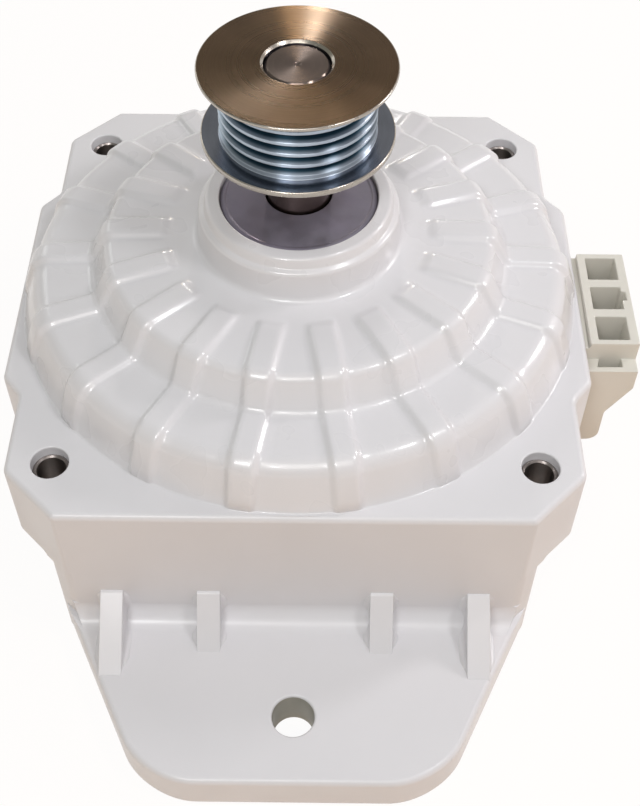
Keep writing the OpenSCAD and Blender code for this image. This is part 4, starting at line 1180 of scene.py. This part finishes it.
class MOTOR_OT_plug_housing(Operator):
    """Build the ivory plug housing with its cells and latch block"""

    bl_idname = "motor.plug_housing"
    bl_label = "Plug housing"

    def execute(self, context):
        s = context.scene.motor_plug
        top, low = PLUG_HIGH.z, PLUG_LOW.z
        rear, front = PLUG_HIGH.y, PLUG_LOW.y
        outer, seat = PLUG_HIGH.x, s.seat_x - 0.3 * MM
        waist, ledge = outer - 4.5 * MM, top - 1.4 * MM
        floor = top - s.cell_depth
        bm = bmesh.new()
        chain(bm, [
            (seat, ledge), (s.inner_x, ledge), (s.inner_x, top), (outer, top),
            (outer, floor + 0.8 * MM, 1.5 * MM), (waist, floor - 7 * MM, 1.5 * MM), (waist, low, 2.5 * MM),
            (seat, low),
        ], closed=True)
        bmesh.ops.contextual_create(bm, geom=bm.edges[:])
        thicken(bm, (0, rear - front, 0), (0, front, 0))
        half = s.cell / 2
        cells = [rear - s.end_wall - half - k * s.pitch for k in range(s.cell_count)]
        above = top + OVERCUT
        latch_rear = cells[-1] - half - s.end_wall
        latch_top = top - s.latch_drop
        slot_x, key_y = s.inner_x + 2 * MM, cells[1]
        cutters = [
            block((s.seat_x - OVERCUT, front - OVERCUT, latch_top), (outer + OVERCUT, latch_rear, above)),
            block(
                (slot_x, latch_rear - s.latch_slot, latch_top - 6 * MM), (slot_x + 4.8 * MM, latch_rear, above)
            ),
            *(block((s.cell_x - half, y - half, floor), (s.cell_x + half, y + half, above)) for y in cells),
            block((s.cell_x, key_y - 0.6 * MM, floor), (s.cell_x + half + 0.9 * MM, key_y + 1.8 * MM, above)),
        ]
        bm = joined("DIFFERENCE", bm, cutters)
        free = edges_where(bm, lambda co: co.x > s.seat_x + NEAR, 40)
        bevel(bm, free, s.edge_round, 2, clamped=True)
        finish_piece("plug_shell", bm, "motor_body", "plug_plastic", ["plug_plastic"], ["connector_housing"])
        return {"FINISHED"}


# Nodes that stay as they are


class MOTOR_OT_inner_pieces(Operator):
    """Give the bearings, stator, rotor, terminals and rear cover their finishes"""

    bl_idname = "motor.inner_pieces"
    bl_label = "Inner pieces and rear cover"

    def execute(self, context):
        remade = {"motor_housing", "front_bearing_cup", "shaft", "pulley", "connector_housing"}
        dress_nodes(*(n for n in sorted(frame["nodes"]) if n not in remade and not n.startswith("sleeve_")))
        return {"FINISHED"}


# Stage

# What the lamps point at
MIDDLE, PULLEY_TOP = (0, 0, 0), (0, 0, 0.05)
# Each lamp: its name, place, what it points at, size, power setting, share of that power, and tone
LAMPS = (
    ("front_lamp", (-0.1, -0.3, 0.34), MIDDLE, (0.1, 0.05), "front_power", 1, (0.98, 0.99, 1)),
    ("fill", (0, -0.3, 0.4), MIDDLE, (0.25, 0.15), "fill_power", 1, (1, 0.97, 0.94)),
    ("side_lamp", (0.32, 0.09, 0.18), MIDDLE, (0.05, 0.1), "side_power", 1, (1, 0.97, 0.98)),
    ("key_lamp", (0.24, -0.13, 0.44), MIDDLE, (0.07, 0.07), "key_power", 1, (0.98, 0.99, 1)),
    ("window", (-0.33, 0.33, 0.26), MIDDLE, (0.1, 0.2), "window_power", 1, (0.97, 0.99, 1)),
    ("back_lamp", (0.009, 0.3, 0.155), PULLEY_TOP, (0.015, 0.05), "back_power", 1, (1, 0.98, 0.96)),
    ("back_glow", (-0.01, 0.3, 0.155), PULLEY_TOP, (0.016, 0.05), "back_power", 0.3, (1, 0.76, 0.48)),
)
FLOOR_TONE, FLOOR_GLOW, FLOOR_SHARE = (0.84, 0.6, 0.41, 1), 1.02, 0.93
ROOM_ACROSS = ((0.0, (0.6, 0.63, 0.57)), (1.0, (1.0, 0.95, 0.95)))
ROOM_UPWARD = (
    (0.0, (0.92, 0.74, 0.56)), (0.25, (0.96, 0.88, 0.8)), (0.55, (0.94, 0.94, 0.95)), (1.0, (1.0, 1.02, 1.05)),
)


def area_light(name, place, target, size, watts, tone):
    """A square lamp that the camera doesn't see, turned towards its target."""
    lamp = bpy.data.lights.new(name, "AREA")
    lamp.shape = "RECTANGLE"
    lamp.size, lamp.size_y = size
    lamp.energy = watts
    lamp.color = tone
    holder = bpy.data.objects.new(name, lamp)
    bpy.context.scene.collection.objects.link(holder)
    holder.location = place
    holder.rotation_euler = (Vector(target) - Vector(place)).to_track_quat("-Z", "Y").to_euler()
    holder.visible_camera = False


class MOTOR_OT_stage(Operator):
    """Set up the camera, the floor and the studio light"""

    bl_idname = "motor.stage"
    bl_label = "Stage"

    def execute(self, context):
        s = context.scene.motor_stage
        self.camera(s)
        self.floor()
        self.room(s)
        for name, place, target, size, setting, share, tone in LAMPS:
            area_light(name, place, target, size, getattr(s, setting) * share, tone)
        context.scene.view_settings.view_transform = "Standard"
        return {"FINISHED"}

    def camera(self, s):
        """The photo's camera, from its direction, its distance and the origin's place in the view."""
        flat = math.cos(s.elevation)
        forward = Vector((math.sin(s.yaw) * flat, math.cos(s.yaw) * flat, -math.sin(s.elevation)))
        level = Vector((math.cos(s.yaw), -math.sin(s.yaw), 0))
        upright = level.cross(forward)
        right = math.cos(s.roll) * level + math.sin(s.roll) * upright
        up = math.cos(s.roll) * upright - math.sin(s.roll) * level
        data = bpy.data.cameras.new("camera")
        data.lens = s.lens
        data.sensor_width = data.sensor_height = 36
        data.sensor_fit = "AUTO"
        data.clip_start = 0.01
        camera = bpy.data.objects.new("camera", data)
        bpy.context.scene.collection.objects.link(camera)
        place = -(right * s.right + up * s.up + forward * s.distance)
        turn_to = Matrix((right, up, -forward)).transposed()
        camera.matrix_world = Matrix.Translation(place) @ turn_to.to_4x4()
        bpy.context.scene.camera = camera

    def floor(self):
        """A wide floor that looks nearly white, keeps the shadow and throws back a warm light."""
        bm = bmesh.new()
        bmesh.ops.create_grid(bm, x_segments=2, y_segments=2, size=3)
        bmesh.ops.translate(bm, vec=(0, 0, HOUSING_LOW.z - CLOSE), verts=bm.verts)
        floor = as_object("floor", bm)
        material = bpy.data.materials.new("pale_floor")
        material.use_nodes = True
        n = Nodes(material.node_tree)
        shader = n.tree.nodes["Principled BSDF"]
        shader.inputs["Base Color"].default_value = FLOOR_TONE
        shader.inputs["Roughness"].default_value = 0.8
        glow = n.node("Emission", {"Strength": FLOOR_GLOW})
        n.mixed(n.number("MULTIPLY", n.seen(), FLOOR_SHARE), shader, glow, "Material Output")
        floor.data.materials.append(material)

    def room(self, s):
        """A plain room, brighter on the right, over a white backdrop near the horizon."""
        world = bpy.data.worlds.new("studio")
        bpy.context.scene.world = world
        world.use_nodes = True
        n = Nodes(world.node_tree)
        place = n.node("TexCoord").outputs["Generated"]
        height = n.along(place, "Z")
        across = n.ramp(n.span(n.along(place, "X"), -0.8, 0.8), ROOM_ACROSS, "LINEAR")
        upward = n.ramp(height, ROOM_UPWARD, "LINEAR")
        sky = n.tree.nodes["Background"]
        sky.inputs["Strength"].default_value = s.room
        n.link(n.vector("MULTIPLY", across, upward), sky.inputs["Color"])
        white = n.node("Background", {"Color": (*WHITE, 1)})
        n.mixed(n.number("MULTIPLY", n.seen(), n.span(height, 0.3, 0.12)), sky, white, "World Output")


# Panel and registration


STEPS = (
    MOTOR_OT_stage, MOTOR_OT_dome, MOTOR_OT_flange, MOTOR_OT_lower_body, MOTOR_OT_foot, MOTOR_OT_steel_fittings,
    MOTOR_OT_shaft, MOTOR_OT_pulley, MOTOR_OT_plug_housing, MOTOR_OT_inner_pieces,
)
SETTINGS = {
    "motor_dome": DomeSizes, "motor_flange": FlangeSizes, "motor_body": BodySizes, "motor_foot": FootSizes,
    "motor_steel": SteelSizes, "motor_pulley": PulleySizes, "motor_plug": PlugSizes, "motor_finishes": Finishes,
    "motor_stage": StageSettings,
}


class MOTOR_PT_panel(Panel):
    bl_idname = "MOTOR_PT_panel"
    bl_label = "Washing machine motor"
    bl_space_type = "VIEW_3D"
    bl_region_type = "UI"
    bl_category = "Motor"

    def draw(self, context):
        for step in STEPS:
            self.layout.operator(step.bl_idname)
        for name, group in SETTINGS.items():
            box = self.layout.box()
            box.label(text=group.__name__)
            for key in group.__annotations__:
                box.prop(getattr(context.scene, name), key)


def register():
    for cls in (*SETTINGS.values(), *STEPS, MOTOR_PT_panel):
        bpy.utils.register_class(cls)
    for name, group in SETTINGS.items():
        setattr(bpy.types.Scene, name, PointerProperty(type=group))


def unregister():
    for name in SETTINGS:
        delattr(bpy.types.Scene, name)
    for cls in (MOTOR_PT_panel, *reversed(STEPS), *reversed(SETTINGS.values())):
        bpy.utils.unregister_class(cls)


def main():
    register()
    for step in STEPS:
        group, name = step.bl_idname.split(".")
        getattr(getattr(bpy.ops, group), name)()


if __name__ == "__main__":
    main()
